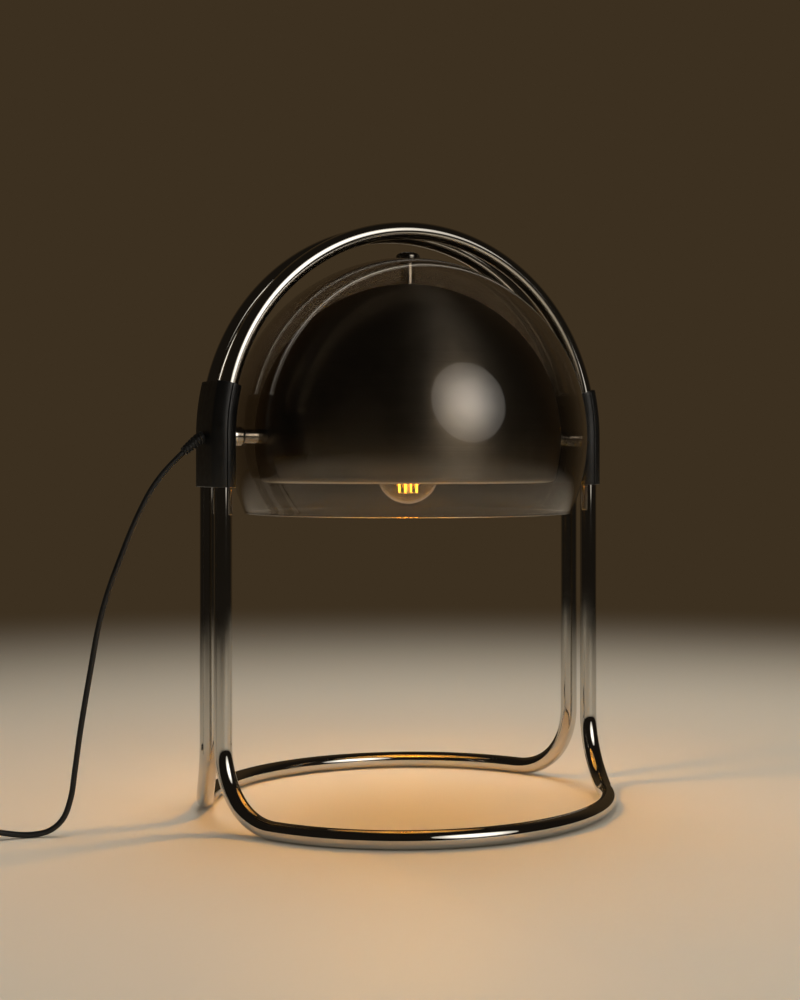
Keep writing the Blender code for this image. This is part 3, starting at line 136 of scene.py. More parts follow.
def moulded(name, colour, worn, roughness, grain=0.0006, depth=0.00003, coat=0.0):
    # injection-moulded black thermoplastic with a fine spark-eroded grain and slight mottling
    made, tree, shader = newMaterial(name, {"IOR": 1.5, "Coat Weight": coat, "Coat Roughness": 0.15})
    tree.links.new(ramp(tree, noise(tree, 0.02, 5), [(0.35, colour), (0.75, worn)]),
                   shader.inputs["Base Color"])
    tree.links.new(ramp(tree, noise(tree, 0.006, 4), [(0.3, roughness - 0.06), (0.7, roughness + 0.08)]),
                   shader.inputs["Roughness"])
    bump(tree, shader, noise(tree, grain, 2), depth, 0.6)
    return made


def plated(name, colour, roughness):
    # zinc-plated steel hardware: satin, slightly cloudy
    made, tree, shader = newMaterial(name, {"Metallic": 1.0})
    tree.links.new(ramp(tree, noise(tree, 0.003, 4), [(0.3, colour), (0.8, "#8f8d86")]),
                   shader.inputs["Base Color"])
    tree.links.new(ramp(tree, noise(tree, 0.002, 3), [(0.3, roughness - 0.07), (0.7, roughness + 0.1)]),
                   shader.inputs["Roughness"])
    return made


tubeChrome = chrome("polished chrome tube", "#c6c3bd", 0.035, 0.085)
fittingChrome = chrome("polished chrome fittings", "#c8c5bf", 0.05, 0.12)
darkChrome = chrome("dark chrome cap", "#6d6963", 0.08, 0.16)
clampBlack = moulded("black satin clamp plastic", "#070707", "#0d0d0d", 0.4)
gripBlack = moulded("black moulded plastic", "#0d0d0e", "#151515", 0.3, 0.0004)
phenolic = moulded("black phenolic moulding", "#100e0d", "#1a1715", 0.24, 0.0015, 0.00001, 0.4)
cordBlack = moulded("black PVC cord sheath", "#0c0c0c", "#141414", 0.48, 0.0012, 0.00004)
nylon = moulded("black nylon bush", "#141414", "#1d1d1d", 0.45)
zinc = plated("zinc-plated steel", "#b9b8b2", 0.28)
brass = plated("brass", "#c79d55", 0.24)


def smokedAcrylic():
    # cast acrylic tinted brown-grey, 3 mm, fire-polished surface with barely seen waviness
    made, tree, shader = newMaterial("smoked acrylic", {
        "Base Color": linear("#c9c2b9"), "Transmission Weight": 1.0, "Roughness": 0.0, "IOR": 1.49})
    bump(tree, shader, noise(tree, 0.05, 1), 0.00006, 0.25)
    return made


def spunMetal():
    # spun aluminium, darkened and lacquered outside, paler inside; fine circular turning marks
    made, tree, shader = newMaterial("spun metal", {
        "Metallic": 1.0, "Roughness": 0.36, "Anisotropic": 0.85, "Anisotropic Rotation": 0.25,
        "Specular Tint": linear("#fff6ea")})
    where = addNode(tree, "TexCoord").outputs["Object"]
    parts = addNode(tree, "SeparateXYZ", links={"Vector": where})
    # turning marks are a function of height alone, so they run as rings round the dome
    heights = addNode(tree, "CombineXYZ", links={"Z": parts.outputs["Z"]}).outputs["Vector"]
    rings = addNode(tree, "TexNoise", {"Scale": 1 / 0.0012, "Detail": 4, "Roughness": 0.7},
                    {"Vector": heights}).outputs["Fac"]
    broad = addNode(tree, "TexNoise", {"Scale": 1 / 0.02, "Detail": 2}, {"Vector": heights}).outputs["Fac"]
    cloud = noise(tree, 0.06, 4)
    mixed = addNode(tree, "Math", {"operation": "MULTIPLY_ADD", 1: 0.5}, {0: rings, 2: cloud}).outputs[0]
    mixed = addNode(tree, "Math", {"operation": "MULTIPLY_ADD", 1: 0.35}, {0: broad, 2: mixed}).outputs[0]
    outside = ramp(tree, mixed, [(0.55, "#6f6b65"), (1.15, "#96928a")])
    inside = ramp(tree, mixed, [(0.55, "#b9b4aa"), (1.1, "#d4d0c8")])
    # distance from the middle of the sphere tells the two faces of the sheet apart
    centred = addNode(tree, "VectorMath", {"operation": "SUBTRACT", 1: (0, 0, axleHeight)}, {0: where})
    far = addNode(tree, "VectorMath", {"operation": "LENGTH"}, {0: centred.outputs[0]}).outputs["Value"]
    face = addNode(tree, "MapRange", {"From Min": 0.1423, "From Max": 0.1427}, {"Value": far})
    blend = addNode(tree, "Mix", {"data_type": "RGBA"}, {"Factor": face.outputs["Result"]})
    tree.links.new(inside, blend.inputs[6])
    tree.links.new(outside, blend.inputs[7])
    tree.links.new(blend.outputs[2], shader.inputs["Base Color"])
    # a few hairline scratches, long and thin
    scratches = noise(tree, 0.004, 2, (0.15, 0.15, 3.0))
    marks = addNode(tree, "Math", {"operation": "MULTIPLY_ADD", 1: 0.3}, {0: scratches, 2: rings}).outputs[0]
    bump(tree, shader, marks, 0.00002, 0.5)
    tangent = addNode(tree, "Tangent", {"direction_type": "RADIAL", "axis": "Z"})
    tree.links.new(tangent.outputs["Tangent"], shader.inputs["Tangent"])
    return made


def glass(name, colour, roughness):
    made, tree, shader = newMaterial(name, {
        "Base Color": linear(colour), "Transmission Weight": 1.0, "Roughness": roughness, "IOR": 1.46})
    bump(tree, shader, noise(tree, 0.02, 1), 0.00004, 0.2)
    return made


def glowing():
    # amber phosphor strips of a filament bulb, lit, dimmer over the lowest few millimetres of their length
    made, tree, shader = newMaterial("amber light strips", {
        "Base Color": linear("#d99a3a"), "Roughness": 0.5, "Emission Color": linear("#ffa632")})
    parts = addNode(tree, "SeparateXYZ", links={"Vector": addNode(tree, "TexCoord").outputs["Object"]})
    band = addNode(tree, "MapRange", {"From Min": 0.2905, "From Max": 0.2945, "To Min": 3.0, "To Max": 9.0},
                   {"Value": parts.outputs["Z"]})
    band.interpolation_type = "SMOOTHSTEP"
    tree.links.new(band.outputs["Result"], shader.inputs["Emission Strength"])
    return made


def ceramic():
    made, tree, shader = newMaterial("glazed white ceramic", {"Roughness": 0.18, "IOR": 1.52})
    tree.links.new(ramp(tree, noise(tree, 0.004, 4), [(0.3, "#d9d3c6"), (0.7, "#e8e4d9")]),
                   shader.inputs["Base Color"])
    return made


acrylic = smokedAcrylic()
spun = spunMetal()
bulbGlass = glass("clear bulb glass", "#f6f3ea", 0.0)
lightStrips = glowing()
whiteCeramic = ceramic()
capMetal = plated("bulb cap aluminium", "#c2c1bc", 0.25)


def meshPiece(name, points, faces, finish, body, replaced=(), smoothAngle=40):
    mesh = bpy.data.meshes.new(name)
    mesh.from_pydata([tuple(p) for p in points], [], faces)
    mesh.update()
    shape = bmesh.new()
    shape.from_mesh(mesh)
    bmesh.ops.remove_doubles(shape, verts=shape.verts, dist=1e-7)
    bmesh.ops.recalc_face_normals(shape, faces=shape.faces)
    shape.to_mesh(mesh)
    shape.free()
    mesh.shade_smooth()
    mesh.set_sharp_from_angle(angle=math.radians(smoothAngle))
    piece = bpy.data.objects.new(name, mesh)
    mesh.materials.append(finish)
    scene.collection.objects.link(piece)
    if replaced:
        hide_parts(*replaced)
    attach(piece, body)
    return piece


def gridFaces(rows, columns, closeRows, closeColumns):
    faces = []
    for r in range(rows if closeRows else rows - 1):
        for c in range(columns if closeColumns else columns - 1):
            r2, c2 = (r + 1) % rows, (c + 1) % columns
            faces.append((r * columns + c, r * columns + c2, r2 * columns + c2, r2 * columns + c))
    return faces


def rounded(outline, radius, steps=4, closed=True):
    # each corner becomes a curve that leaves and meets its two sides at most radius from the corner
    out = []
    count = len(outline)
    for k, corner in enumerate(np.array(outline, float)):
        if not closed and k in (0, count - 1):
            out.append(corner)
            continue
        before = np.array(outline[k - 1], float) - corner
        after = np.array(outline[(k + 1) % count], float) - corner
        reach = min(radius, np.linalg.norm(before) * 0.45, np.linalg.norm(after) * 0.45)
        a = corner + before / np.linalg.norm(before) * reach
        b = corner + after / np.linalg.norm(after) * reach
        for t in np.linspace(0, 1, steps + 1):
            out.append((1 - t) ** 2 * a + 2 * t * (1 - t) * corner + t ** 2 * b)
    return np.array(out)


def aimed(points, origin, axis):
    # local z goes along axis: "z", or "x" and "-x" for the two sides of the axle
    x, y, z = points[..., 0], points[..., 1], points[..., 2]
    if axis == "z":
        turnedPoints = np.stack([x, y, z], -1)
    else:
        side = 1 if axis == "x" else -1
        turnedPoints = np.stack([z * side, y, -x * side], -1)
    return turnedPoints + np.array(origin)


def turnedPiece(name, profile, finish, body, replaced=(), origin=(0, 0, axleHeight), axis="z", segments=64,
                smoothAngle=40):
    # a closed outline of (radius, height), turned about the axis: radius * (cos u, sin u), height
    profile = np.array(profile, float)
    u = np.linspace(0, 2 * math.pi, segments, endpoint=False)[:, None]
    points = np.stack([profile[:, 0] * np.cos(u), profile[:, 0] * np.sin(u),
                       np.broadcast_to(profile[:, 1], (segments, len(profile)))], -1)
    points = aimed(points, origin, axis).reshape(-1, 3)
    return meshPiece(name, points, gridFaces(segments, len(profile), True, True), finish, body, replaced,
                     smoothAngle)


def ringProfile(inner, outer, low, high, edge):
    return rounded([(inner, low), (outer, low), (outer, high), (inner, high)], edge)


def sweptPiece(name, centres, sides, radii, bore, finish, body, replaced, around=48):
    # a tube along centres: centre + radius * (side * cos u + across * sin u), with annular ends
    centres = np.array(centres, float)
    travel = np.gradient(centres, axis=0)
    travel /= np.linalg.norm(travel, axis=1)[:, None]
    sides = np.array(sides, float)
    sides -= travel * (sides * travel).sum(1)[:, None]
    sides /= np.linalg.norm(sides, axis=1)[:, None]
    across = np.cross(travel, sides)
    u = np.linspace(0, 2 * math.pi, around, endpoint=False)[None, :, None]
    skins = []
    for radius in (np.broadcast_to(radii, len(centres)), np.full(len(centres), bore)):
        skins.append(centres[:, None] + radius[:, None, None]
                     * (sides[:, None] * np.cos(u) + across[:, None] * np.sin(u)))
    points = np.concatenate([skins[0], skins[1][::-1]]).reshape(-1, 3)
    return meshPiece(name, points, gridFaces(2 * len(centres), around, True, True), finish, body, replaced)


def smoothLine(points, step):
    # the same route as the solid's: a centripetal spline through the points, with straight ends
    ends = np.array(points, float)
    dense = [ends[1]]
    for p in zip(ends, ends[1:], ends[2:], ends[3:]):
        t = np.concatenate([[0], np.cumsum([np.linalg.norm(b - a) ** 0.5 for a, b in zip(p, p[1:])])])
        for s in np.linspace(t[1], t[2], 17)[1:]:
            level = list(p)
            for spans in (((0, 1), (1, 2), (2, 3)), ((0, 2), (1, 3)), ((1, 2),)):
                level = [(t[j] - s) / (t[j] - t[i]) * a + (s - t[i]) / (t[j] - t[i]) * b
                         for (i, j), a, b in zip(spans, level, level[1:])]
            dense.append(level[0])
    dense = np.array(dense)
    run = np.concatenate([[0], np.cumsum(np.linalg.norm(np.diff(dense, axis=0), axis=1))])
    marks = np.linspace(0, run[-1], max(2, round(run[-1] / step)) + 1)
    middle = np.column_stack([np.interp(marks, run, dense[:, k]) for k in range(3)])
    return np.vstack([ends[0], middle, ends[-1]])


def cordPiece(name, line, radius, finish, body, replaced):
    data = bpy.data.curves.new(name, "CURVE")
    data.dimensions = "3D"
    data.bevel_depth = radius
    data.bevel_resolution = 6
    data.use_fill_caps = True
    spline = data.splines.new("POLY")
    spline.points.add(len(line) - 1)
    for point, (x, y, z) in zip(spline.points, line):
        point.co = (x, y, z, 1)
    spline.use_smooth = True
    piece = bpy.data.objects.new(name, data)
    data.materials.append(finish)
    scene.collection.objects.link(piece)
    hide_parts(*replaced)
    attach(piece, body)
    return piece


def lengthOf(line):
    return float(np.linalg.norm(np.diff(line, axis=0), axis=1).sum())


# cord from inside the left clamp to the switch, then switch to coil to plug
cordSettings = {"radius": 0.0025, "step": 0.004}
runRoute = [
    (-0.1943, 0.0000, 0.3432), (-0.1970, 0.0000, 0.3432), (-0.2022, 0.0000, 0.3424),
    (-0.2080, 0.0004, 0.3397), (-0.2142, 0.0015, 0.3347), (-0.2213, 0.0029, 0.3281),
    (-0.2375, 0.0064, 0.3107), (-0.2478, 0.0087, 0.2960), (-0.2571, 0.0108, 0.2778),
    (-0.2647, 0.0126, 0.2603), (-0.2735, 0.0144, 0.2375), (-0.2818, 0.0162, 0.2145),
    (-0.2880, 0.0175, 0.1941), (-0.2931, 0.0187, 0.1719), (-0.2983, 0.0197, 0.1419),
    (-0.3029, 0.0207, 0.1145), (-0.3073, 0.0216, 0.0864), (-0.3112, 0.0224, 0.0565),
    (-0.3150, 0.0231, 0.0310), (-0.3215, 0.0243, 0.0140), (-0.3320, 0.0262, 0.0053),
    (-0.3450, 0.0290, 0.0027), (-0.3570, 0.0318, 0.0032), (-0.3690, 0.0342, 0.0054),
    (-0.3790, 0.0354, 0.0076), (-0.3851, 0.0358, 0.0080), (-0.3931, 0.0364, 0.0080),
]
linkRoute = [
    (-0.4389, 0.0396, 0.0080), (-0.4469, 0.0402, 0.0080), (-0.4550, 0.0416, 0.0070),
    (-0.4625, 0.0455, 0.0055), (-0.4682, 0.0520, 0.0040), (-0.4712, 0.0605, 0.0030),
    (-0.4718, 0.0700, 0.0026), (-0.4706, 0.0800, 0.0025), (-0.4690, 0.0890, 0.0025),
    (-0.4683, 0.0946, 0.0025),
]
tailRoute = [
    (-0.4682, 0.1055, 0.0079), (-0.4679, 0.1160, 0.0075), (-0.4668, 0.1270, 0.0058),
    (-0.4643, 0.1380, 0.0041), (-0.4600, 0.1480, 0.0031), (-0.4537, 0.1568, 0.0034),
    (-0.4475, 0.1612, 0.0053), (-0.4405, 0.1630, 0.0069), (-0.4190, 0.1630, 0.0069),
]
leadRoute = [
    (-0.1939, 0.0, 0.3432), (-0.1650, 0.0, 0.3432), (-0.1350, 0.0, 0.3432), (-0.1220, 0.0, 0.3440),
    (-0.1050, 0.0, 0.3500), (-0.0850, 0.0, 0.3639), (-0.0660, 0.0, 0.3798), (-0.0460, 0.0, 0.3922),
    (-0.0300, 0.0, 0.3962), (-0.0140, 0.0, 0.3964),
]
coilSettings = {"centre": (-0.430125, 0.0999), "mean": 0.030, "turns": 6, "pitch": 0.00545, "tie": 20.0,
                "lift": 0.0015}


def coilLine(settings, perTurn=48):
    # radius = inner + pitch * |phase - middle| / turn; height climbs one layer at the middle
    whole = settings["turns"] * 2 * math.pi
    phase = np.linspace(0, whole, settings["turns"] * perTurn + 1)
    inner = settings["mean"] - settings["pitch"] * settings["turns"] / 4
    radius = inner + settings["pitch"] / (2 * math.pi) * np.abs(phase - whole / 2)
    climb = np.clip((phase - whole / 2) / math.pi + 0.5, 0, 1)
    climb = climb * climb * (3 - 2 * climb)
    around = math.pi - phase
    off = np.abs((around - math.radians(settings["tie"]) + math.pi) % (2 * math.pi) - math.pi)
    lift = settings["lift"] * np.clip(np.cos(np.clip(off, 0, math.pi / 3) * 1.5), 0, 1) ** 2
    x, y = settings["centre"]
    return np.column_stack([x + radius * np.cos(around), y + radius * np.sin(around),
                            0.0025 + settings["pitch"] * climb + lift])


runLine = smoothLine(runRoute, cordSettings["step"])
linkLine = smoothLine(linkRoute, cordSettings["step"])
tailLine = smoothLine(tailRoute, cordSettings["step"])
leadLine = smoothLine(leadRoute, cordSettings["step"])
cordRun = cordPiece("mainsCordToSwitch", runLine, cordSettings["radius"], cordBlack, "stand", ["cord_run"])
storedLine = np.vstack([linkLine, coilLine(coilSettings), tailLine])
cordRest = cordPiece("mainsCordCoiled", storedLine, cordSettings["radius"], cordBlack, "stand",
                     ["cord_link", "cord_coil", "cord_tail"])
lead = cordPiece("internalLead", leadLine, cordSettings["radius"], cordBlack, "shade", ["internal_lead"])
print("stage: camera and cords", round(lengthOf(runLine), 3), round(lengthOf(storedLine), 3))

# chromed tubes: half-circle arch, and legs that run into half of the base ring
tubeSettings = {"radius": 0.008, "bore": 0.0062, "row": 0.0174, "arch": 0.1915, "joint": 0.3232,
                "bend": 0.066, "turnStart": 11.5, "turnEnd": 27.0}


def archPath(settings, row):
    angle = np.linspace(0, math.pi, 121)
    out = np.column_stack([np.cos(angle), np.zeros(121), np.sin(angle)])
    centres = out * settings["arch"] + np.array([0, row, axleHeight])
    low = settings["joint"] + 0.00015
    centres = np.vstack([[settings["arch"], row, low], centres, [-settings["arch"], row, low]])
    return centres, np.vstack([[1, 0, 0], out, [-1, 0, 0]])


def basePath(settings, facing):
    # foot: the plan direction turns evenly with the distance run while the tube bends down to the table
    start, end = math.radians(settings["turnStart"]), math.radians(settings["turnEnd"])
    planRadius = settings["bend"] / (end - start)
    slope = np.linspace(0, math.pi / 2, 33)
    turn = start + (end - start) * (1 - np.cos(slope))
    x = settings["arch"] - planRadius * (math.cos(start) - np.cos(turn))
    y = settings["row"] + planRadius * (np.sin(turn) - math.sin(start))
    z = settings["radius"] + settings["bend"] * (1 - np.sin(slope))
    ringRadius = x[-1] / math.cos(end)
    ringCentre = y[-1] - ringRadius * math.sin(end)
    ringTurn = np.linspace(end, math.pi / 2, 65)[1:]
    legs = np.linspace(settings["joint"] - 0.00015, z[0], 9)[:-1]
    turns = np.concatenate([np.full(8, start), turn, ringTurn])
    half = np.column_stack([
        np.concatenate([np.full(8, settings["arch"]), x, ringRadius * np.cos(ringTurn)]),
        facing * np.concatenate([np.full(8, settings["row"]), y, ringCentre + ringRadius * np.sin(ringTurn)]),
        np.concatenate([legs, z, np.full(64, settings["radius"])])])
    sides = np.column_stack([np.cos(turns), facing * np.sin(turns), np.zeros(len(turns))])
    flip = np.array([-1, 1, 1])
    return np.vstack([half, half[-2::-1] * flip]), np.vstack([sides, sides[-2::-1] * flip])


for word, facing in (("front", -1), ("rear", 1)):
    centres, sides = archPath(tubeSettings, facing * tubeSettings["row"])
    sweptPiece(word + "ArchTube", centres, sides, tubeSettings["radius"], tubeSettings["bore"], tubeChrome,
               "stand", [word + "_arch_tube"])
    centres, sides = basePath(tubeSettings, facing)
    sweptPiece(word + "BaseTube", centres, sides, tubeSettings["radius"], tubeSettings["bore"], tubeChrome,
               "stand", [word + "_base_tube"])
print("stage: tubes")

# clamps: half-obround shells round the two tubes, following the start of the arch
clampSettings = {"radius": 0.011282, "channel": 0.00836, "row": 0.0174, "drop": 0.0452, "steps": 12,
                 "rise": 2 * math.pi / 26, "edge": 0.0009, "screw": 0.031, "screwSink": 0.0045}


def clampSection(settings, sign):
    # (depth, width) outline of one half, with the parting edge just off the tube centres
    gap = 0.00015
    row, outer, inner = settings["row"], settings["radius"], settings["channel"]
    rim, lip = math.asin(gap / outer), math.asin(gap / inner)
    arcs = [(row, outer, rim, math.pi / 2, 14), (-row, outer, math.pi / 2, math.pi - rim, 14),
            (-row, inner, math.pi - lip, lip, 14), (row, inner, math.pi - lip, lip, 14)]
    points = []
    for centre, radius, start, end, steps in arcs:
        for angle in np.linspace(start, end, steps + 1):
            points.append((sign * radius * math.sin(angle), centre + radius * math.cos(angle)))
    return points


def clampHalf(name, side, sign, settings, replaced):
    section = clampSection(settings, sign)
    stations = [(0, settings["drop"])]
    stations += [(k / settings["steps"] * settings["rise"], 0) for k in range(settings["steps"] + 1)]
    points = []
    for angle, drop in stations:
        out = np.array([side * math.cos(angle), 0, math.sin(angle)])
        for depth, width in section:
            points.append(out * (tubeSettings["arch"] + depth) + np.array([0, width, axleHeight - drop]))
    count = len(section)
    faces = gridFaces(len(stations), count, False, True)
    faces += [tuple(range(count)), tuple(range((len(stations) - 1) * count, len(stations) * count))]
    piece = meshPiece(name, points, faces, clampBlack, "stand", replaced)
    if sign < 0:
        face = tubeSettings["arch"] - settings["radius"]
        for height in (settings["screw"], -settings["screw"]):
            cutHole(piece, (side * (face - 0.004), 0, axleHeight + height), side, 0.0031,
                    0.004 + settings["screwSink"])
        cutHole(piece, (side * (face - 0.004), 0, axleHeight), side, 0.0083, 0.0046)
    bevel = piece.modifiers.new("soft edges", "BEVEL")
    bevel.width = settings["edge"]
    bevel.segments = 3
    bevel.angle_limit = math.radians(50)
    bevel.harden_normals = False
    applyModifiers(piece)
    return piece


def applyModifiers(piece):
    graph = bpy.context.evaluated_depsgraph_get()
    graph.update()
    made = bpy.data.meshes.new_from_object(piece.evaluated_get(graph))
    piece.modifiers.clear()
    old = piece.data
    piece.data = made
    bpy.data.meshes.remove(old)
    made.shade_smooth()
    made.set_sharp_from_angle(angle=math.radians(40))


def takeOut(piece, shape):
    mesh = bpy.data.meshes.new("cutter")
    shape.to_mesh(mesh)
    shape.free()
    cutter = bpy.data.objects.new("cutter", mesh)
    scene.collection.objects.link(cutter)
    cut = piece.modifiers.new("cut", "BOOLEAN")
    cut.operation = "DIFFERENCE"
    cut.object = cutter
    applyModifiers(piece)
    bpy.data.objects.remove(cutter)


def cutHole(piece, start, side, radius, depth):
    shape = bmesh.new()
    turn = Matrix.Rotation(math.pi / 2, 4, "Y")
    holeMiddle = Vector(start) + Vector((side * depth / 2, 0, 0))
    bmesh.ops.create_cone(shape, cap_ends=True, segments=32, radius1=radius, radius2=radius, depth=depth,
                          matrix=Matrix.Translation(holeMiddle) @ turn)
    takeOut(piece, shape)


def cutWindow(piece, size, centre, place):
    shape = bmesh.new()
    bmesh.ops.create_cube(shape, size=1, matrix=place @ Matrix.Translation(centre)
                          @ Matrix.Diagonal((*size, 1)))
    takeOut(piece, shape)


for word, side in (("left", -1), ("right", 1)):
    clampHalf(word + "ClampInner", side, -1, clampSettings, [word + "_clamp_inner_half"])
    clampHalf(word + "ClampOuter", side, 1, clampSettings, [word + "_clamp_outer_half"])
print("stage: clamps")

# clamp screws: cheese heads with a socket, down in their holes
screwSettings = {"head": 0.0028, "height": 0.0018, "shank": 0.0015, "length": 0.0135, "socket": 0.0011}


def screwProfile(settings):
    head, height, shank = settings["head"], settings["height"], settings["shank"]
    socket, floorLevel = settings["socket"], height * 0.45 - height
    return rounded([(0.0001, floorLevel), (socket, floorLevel), (socket, -height), (head, -height),
                    (head, 0), (shank, 0), (shank, settings["length"]), (0.0001, settings["length"])],
                   0.0003, 3)


for word, side, axis in (("left", -1, "-x"), ("right", 1, "x")):
    for level, height in (("upper", 0.031), ("lower", -0.031)):
        face = tubeSettings["arch"] - clampSettings["radius"] + clampSettings["screwSink"] - 0.0003
        turnedPiece(f"{word}{level.title()}ClampScrew", screwProfile(screwSettings), zinc, "stand",
                    [f"{word}_{level}_clamp_screw"], (side * face, 0, axleHeight + height), axis, 32)

# domes: the smoked one has a rounded rim, the spun one a rim turned in to a small lip
domeSettings = {"outer": 0.1677, "wall": 0.003, "drop": 0.0707, "inner": 0.1431, "sheet": 0.0012,
                "innerDrop": 0.0418, "lip": 0.006, "lipFlat": 0.002, "hole": 0.0053}


def sphereArc(radius, fromRadius, toHeight, steps):
    start, end = math.acos(fromRadius / radius), math.asin(toHeight / radius)
    angle = np.linspace(start, end, steps + 1)
    return np.column_stack([radius * np.cos(angle), radius * np.sin(angle)])


def smokedDome(settings):
    outer, inner = settings["outer"], settings["outer"] - settings["wall"]
    low = -settings["drop"]
    edge = 0.0011
    outside = sphereArc(outer, settings["hole"], low + edge, 110)
    inside = sphereArc(inner, settings["hole"], low + edge, 110)[::-1]
    rimOut, rimIn = outside[-1][0], inside[0][0]
    middle = (rimOut + rimIn) / 2
    bend = np.linspace(0, math.pi, 13)[1:-1]
    rim = np.column_stack([middle + (rimOut - middle) * np.cos(bend), low + edge - edge * np.sin(bend)])
    piece = turnedPiece("smokedDome", np.vstack([outside, rim, inside]), acrylic, "shade",
                        ["smoked_outer_dome"], segments=160, smoothAngle=60)
    piece.visible_shadow = False
    return piece


def spunDome(settings):
    outer, inner = settings["inner"], settings["inner"] - settings["sheet"]
    start = -(settings["innerDrop"] - settings["lip"])
    outside = sphereArc(outer, settings["hole"], start, 90)
    inside = sphereArc(inner, settings["hole"], start, 90)[::-1]
    centre = outside[-1][0] - settings["lip"]
    bend = np.linspace(0, math.pi / 2, 13)[1:]
    big, small = settings["lip"], settings["lip"] - settings["sheet"]
    lipOut = np.column_stack([centre + big * np.cos(bend), start - big * np.sin(bend)])
    lipIn = np.column_stack([centre + small * np.cos(bend), start - small * np.sin(bend)])[::-1]
    end = centre - settings["lipFlat"]
    tip = [(end, start - big), (end - 0.0003, start - big + 0.0006), (end, start - small)]
    return turnedPiece("spunDome", np.vstack([outside, lipOut, tip, lipIn, inside]), spun, "shade",
                       ["spun_inner_dome"], segments=144, smoothAngle=60)


smokedDome(domeSettings)
spunDome(domeSettings)
print("stage: domes")

# axle hardware on both sides
axle = {"radius": 0.005, "bore": 0.0032, "span": (0.1367, 0.1935), "fit": 0.0053,
        "collar": 0.0086, "collarSpan": (0.1680, 0.1787), "spacer": 0.0064, "spacerSpan": (0.1434, 0.1644)}
nutSettings = {"flats": 0.014, "thick": 0.0035, "bore": 0.0052, "start": 0.1381}


def hexNut(name, axis, replaced, settings):
    # six sides with turned chamfers: the corner reach shrinks towards both faces
    flats, thick, start = settings["flats"], settings["thick"], settings["start"]
    u = np.linspace(0, 2 * math.pi, 48, endpoint=False)
    sides = flats / 2 / np.cos((u + math.pi / 6) % (math.pi / 3) - math.pi / 6)
    corner = flats / 2 / math.cos(math.pi / 6)
    rings = [(np.minimum(sides, corner * (1 - cutBack)), height)
             for height, cutBack in ((0, 0.06), (0.12, 0.0), (0.88, 0.0), (1, 0.06))]
    rings += [(settings["bore"], height) for height in (1, 0)]
    rows = [np.column_stack([reach * np.cos(u), reach * np.sin(u), np.full(48, start + thick * height)])
            for reach, height in rings]
    points = aimed(np.array(rows), (0, 0, axleHeight), axis).reshape(-1, 3)
    return meshPiece(name, points, gridFaces(6, 48, True, True), zinc, "shade", replaced, 25)


for word, side, axis in (("left", -1, "-x"), ("right", 1, "x")):
    turnedPiece(word + "AxleCollar",
                ringProfile(axle["fit"], axle["collar"], *axle["collarSpan"], 0.0007),
                fittingChrome, "shade", [word + "_axle_collar"], axis=axis)
    turnedPiece(word + "AxleSpacer",
                ringProfile(axle["fit"], axle["spacer"], *axle["spacerSpan"], 0.0004),
                fittingChrome, "shade", [word + "_axle_spacer_tube"], axis=axis)
    turnedPiece(word + "AxleBush", rounded([(0.00535, 0.17902), (0.0080, 0.17902), (0.0080, 0.18052),
                                            (0.0065, 0.18052), (0.0065, 0.18702), (0.00535, 0.18702)],
                                           0.0003), nylon, "stand", [word + "_axle_bush"], axis=axis)
    turnedPiece(word + "HollowAxle",
                ringProfile(axle["bore"], axle["radius"], *axle["span"], 0.0003),
                zinc, "shade", [word + "_hollow_axle"], axis=axis)
    hexNut(word + "DomeNut", axis, [word + "_dome_nut"], nutSettings)

# stem, spacer, cap and nut at the top of the shade
stemSettings = {"radius": 0.005, "bore": 0.0032, "low": 0.0701, "high": 0.1715, "pitch": 0.001}
threads = []
for k in range(int((0.138 - stemSettings["low"] - 0.006) / stemSettings["pitch"])):
    height = stemSettings["low"] + 0.006 + k * stemSettings["pitch"]
    threads += [(stemSettings["radius"] - 0.0004, height), (stemSettings["radius"], height + 0.0005)]
stemProfile = [(stemSettings["bore"], stemSettings["low"]), (0.0047, stemSettings["low"])] + threads + [
    (0.0048, 0.1382), (0.0048, stemSettings["high"]), (stemSettings["bore"], stemSettings["high"])]
turnedPiece("hollowStem", stemProfile, zinc, "shade", ["hollow_stem"], segments=40)
turnedPiece("stemSpacer", ringProfile(0.0053, 0.0070, 0.1434, 0.1644, 0.0005), fittingChrome, "shade",
            ["stem_spacer_tube"])
hexNut("stemNut", "z", ["stem_nut"], nutSettings)
finial = {"radius": 0.01125, "low": 0.1680, "brim": 0.1696, "dome": 0.0045}
finialArc = np.linspace(0, math.pi / 2, 17)
finialProfile = np.vstack([
    rounded([(0.0053, 0.1718), (0.0053, finial["low"]), (finial["radius"], finial["low"]),
             (finial["radius"], finial["brim"])], 0.0005, 4, False),
    np.column_stack([finial["radius"] * np.cos(finialArc),
                     finial["brim"] + finial["dome"] * np.sin(finialArc)])[1:-1],
    [(0.0001, finial["brim"] + finial["dome"]), (0.0001, 0.1718)]])
turnedPiece("finialCap", finialProfile, darkChrome, "shade", ["finial_cap_nut"])

# lamp holder: skirt and cap with a ribbed grip
holderSettings = {"radius": 0.020, "wall": 0.0026, "low": 0.0118, "high": 0.0457, "capLow": 0.0460,
                  "shoulder": 0.0600, "capHigh": 0.0680}


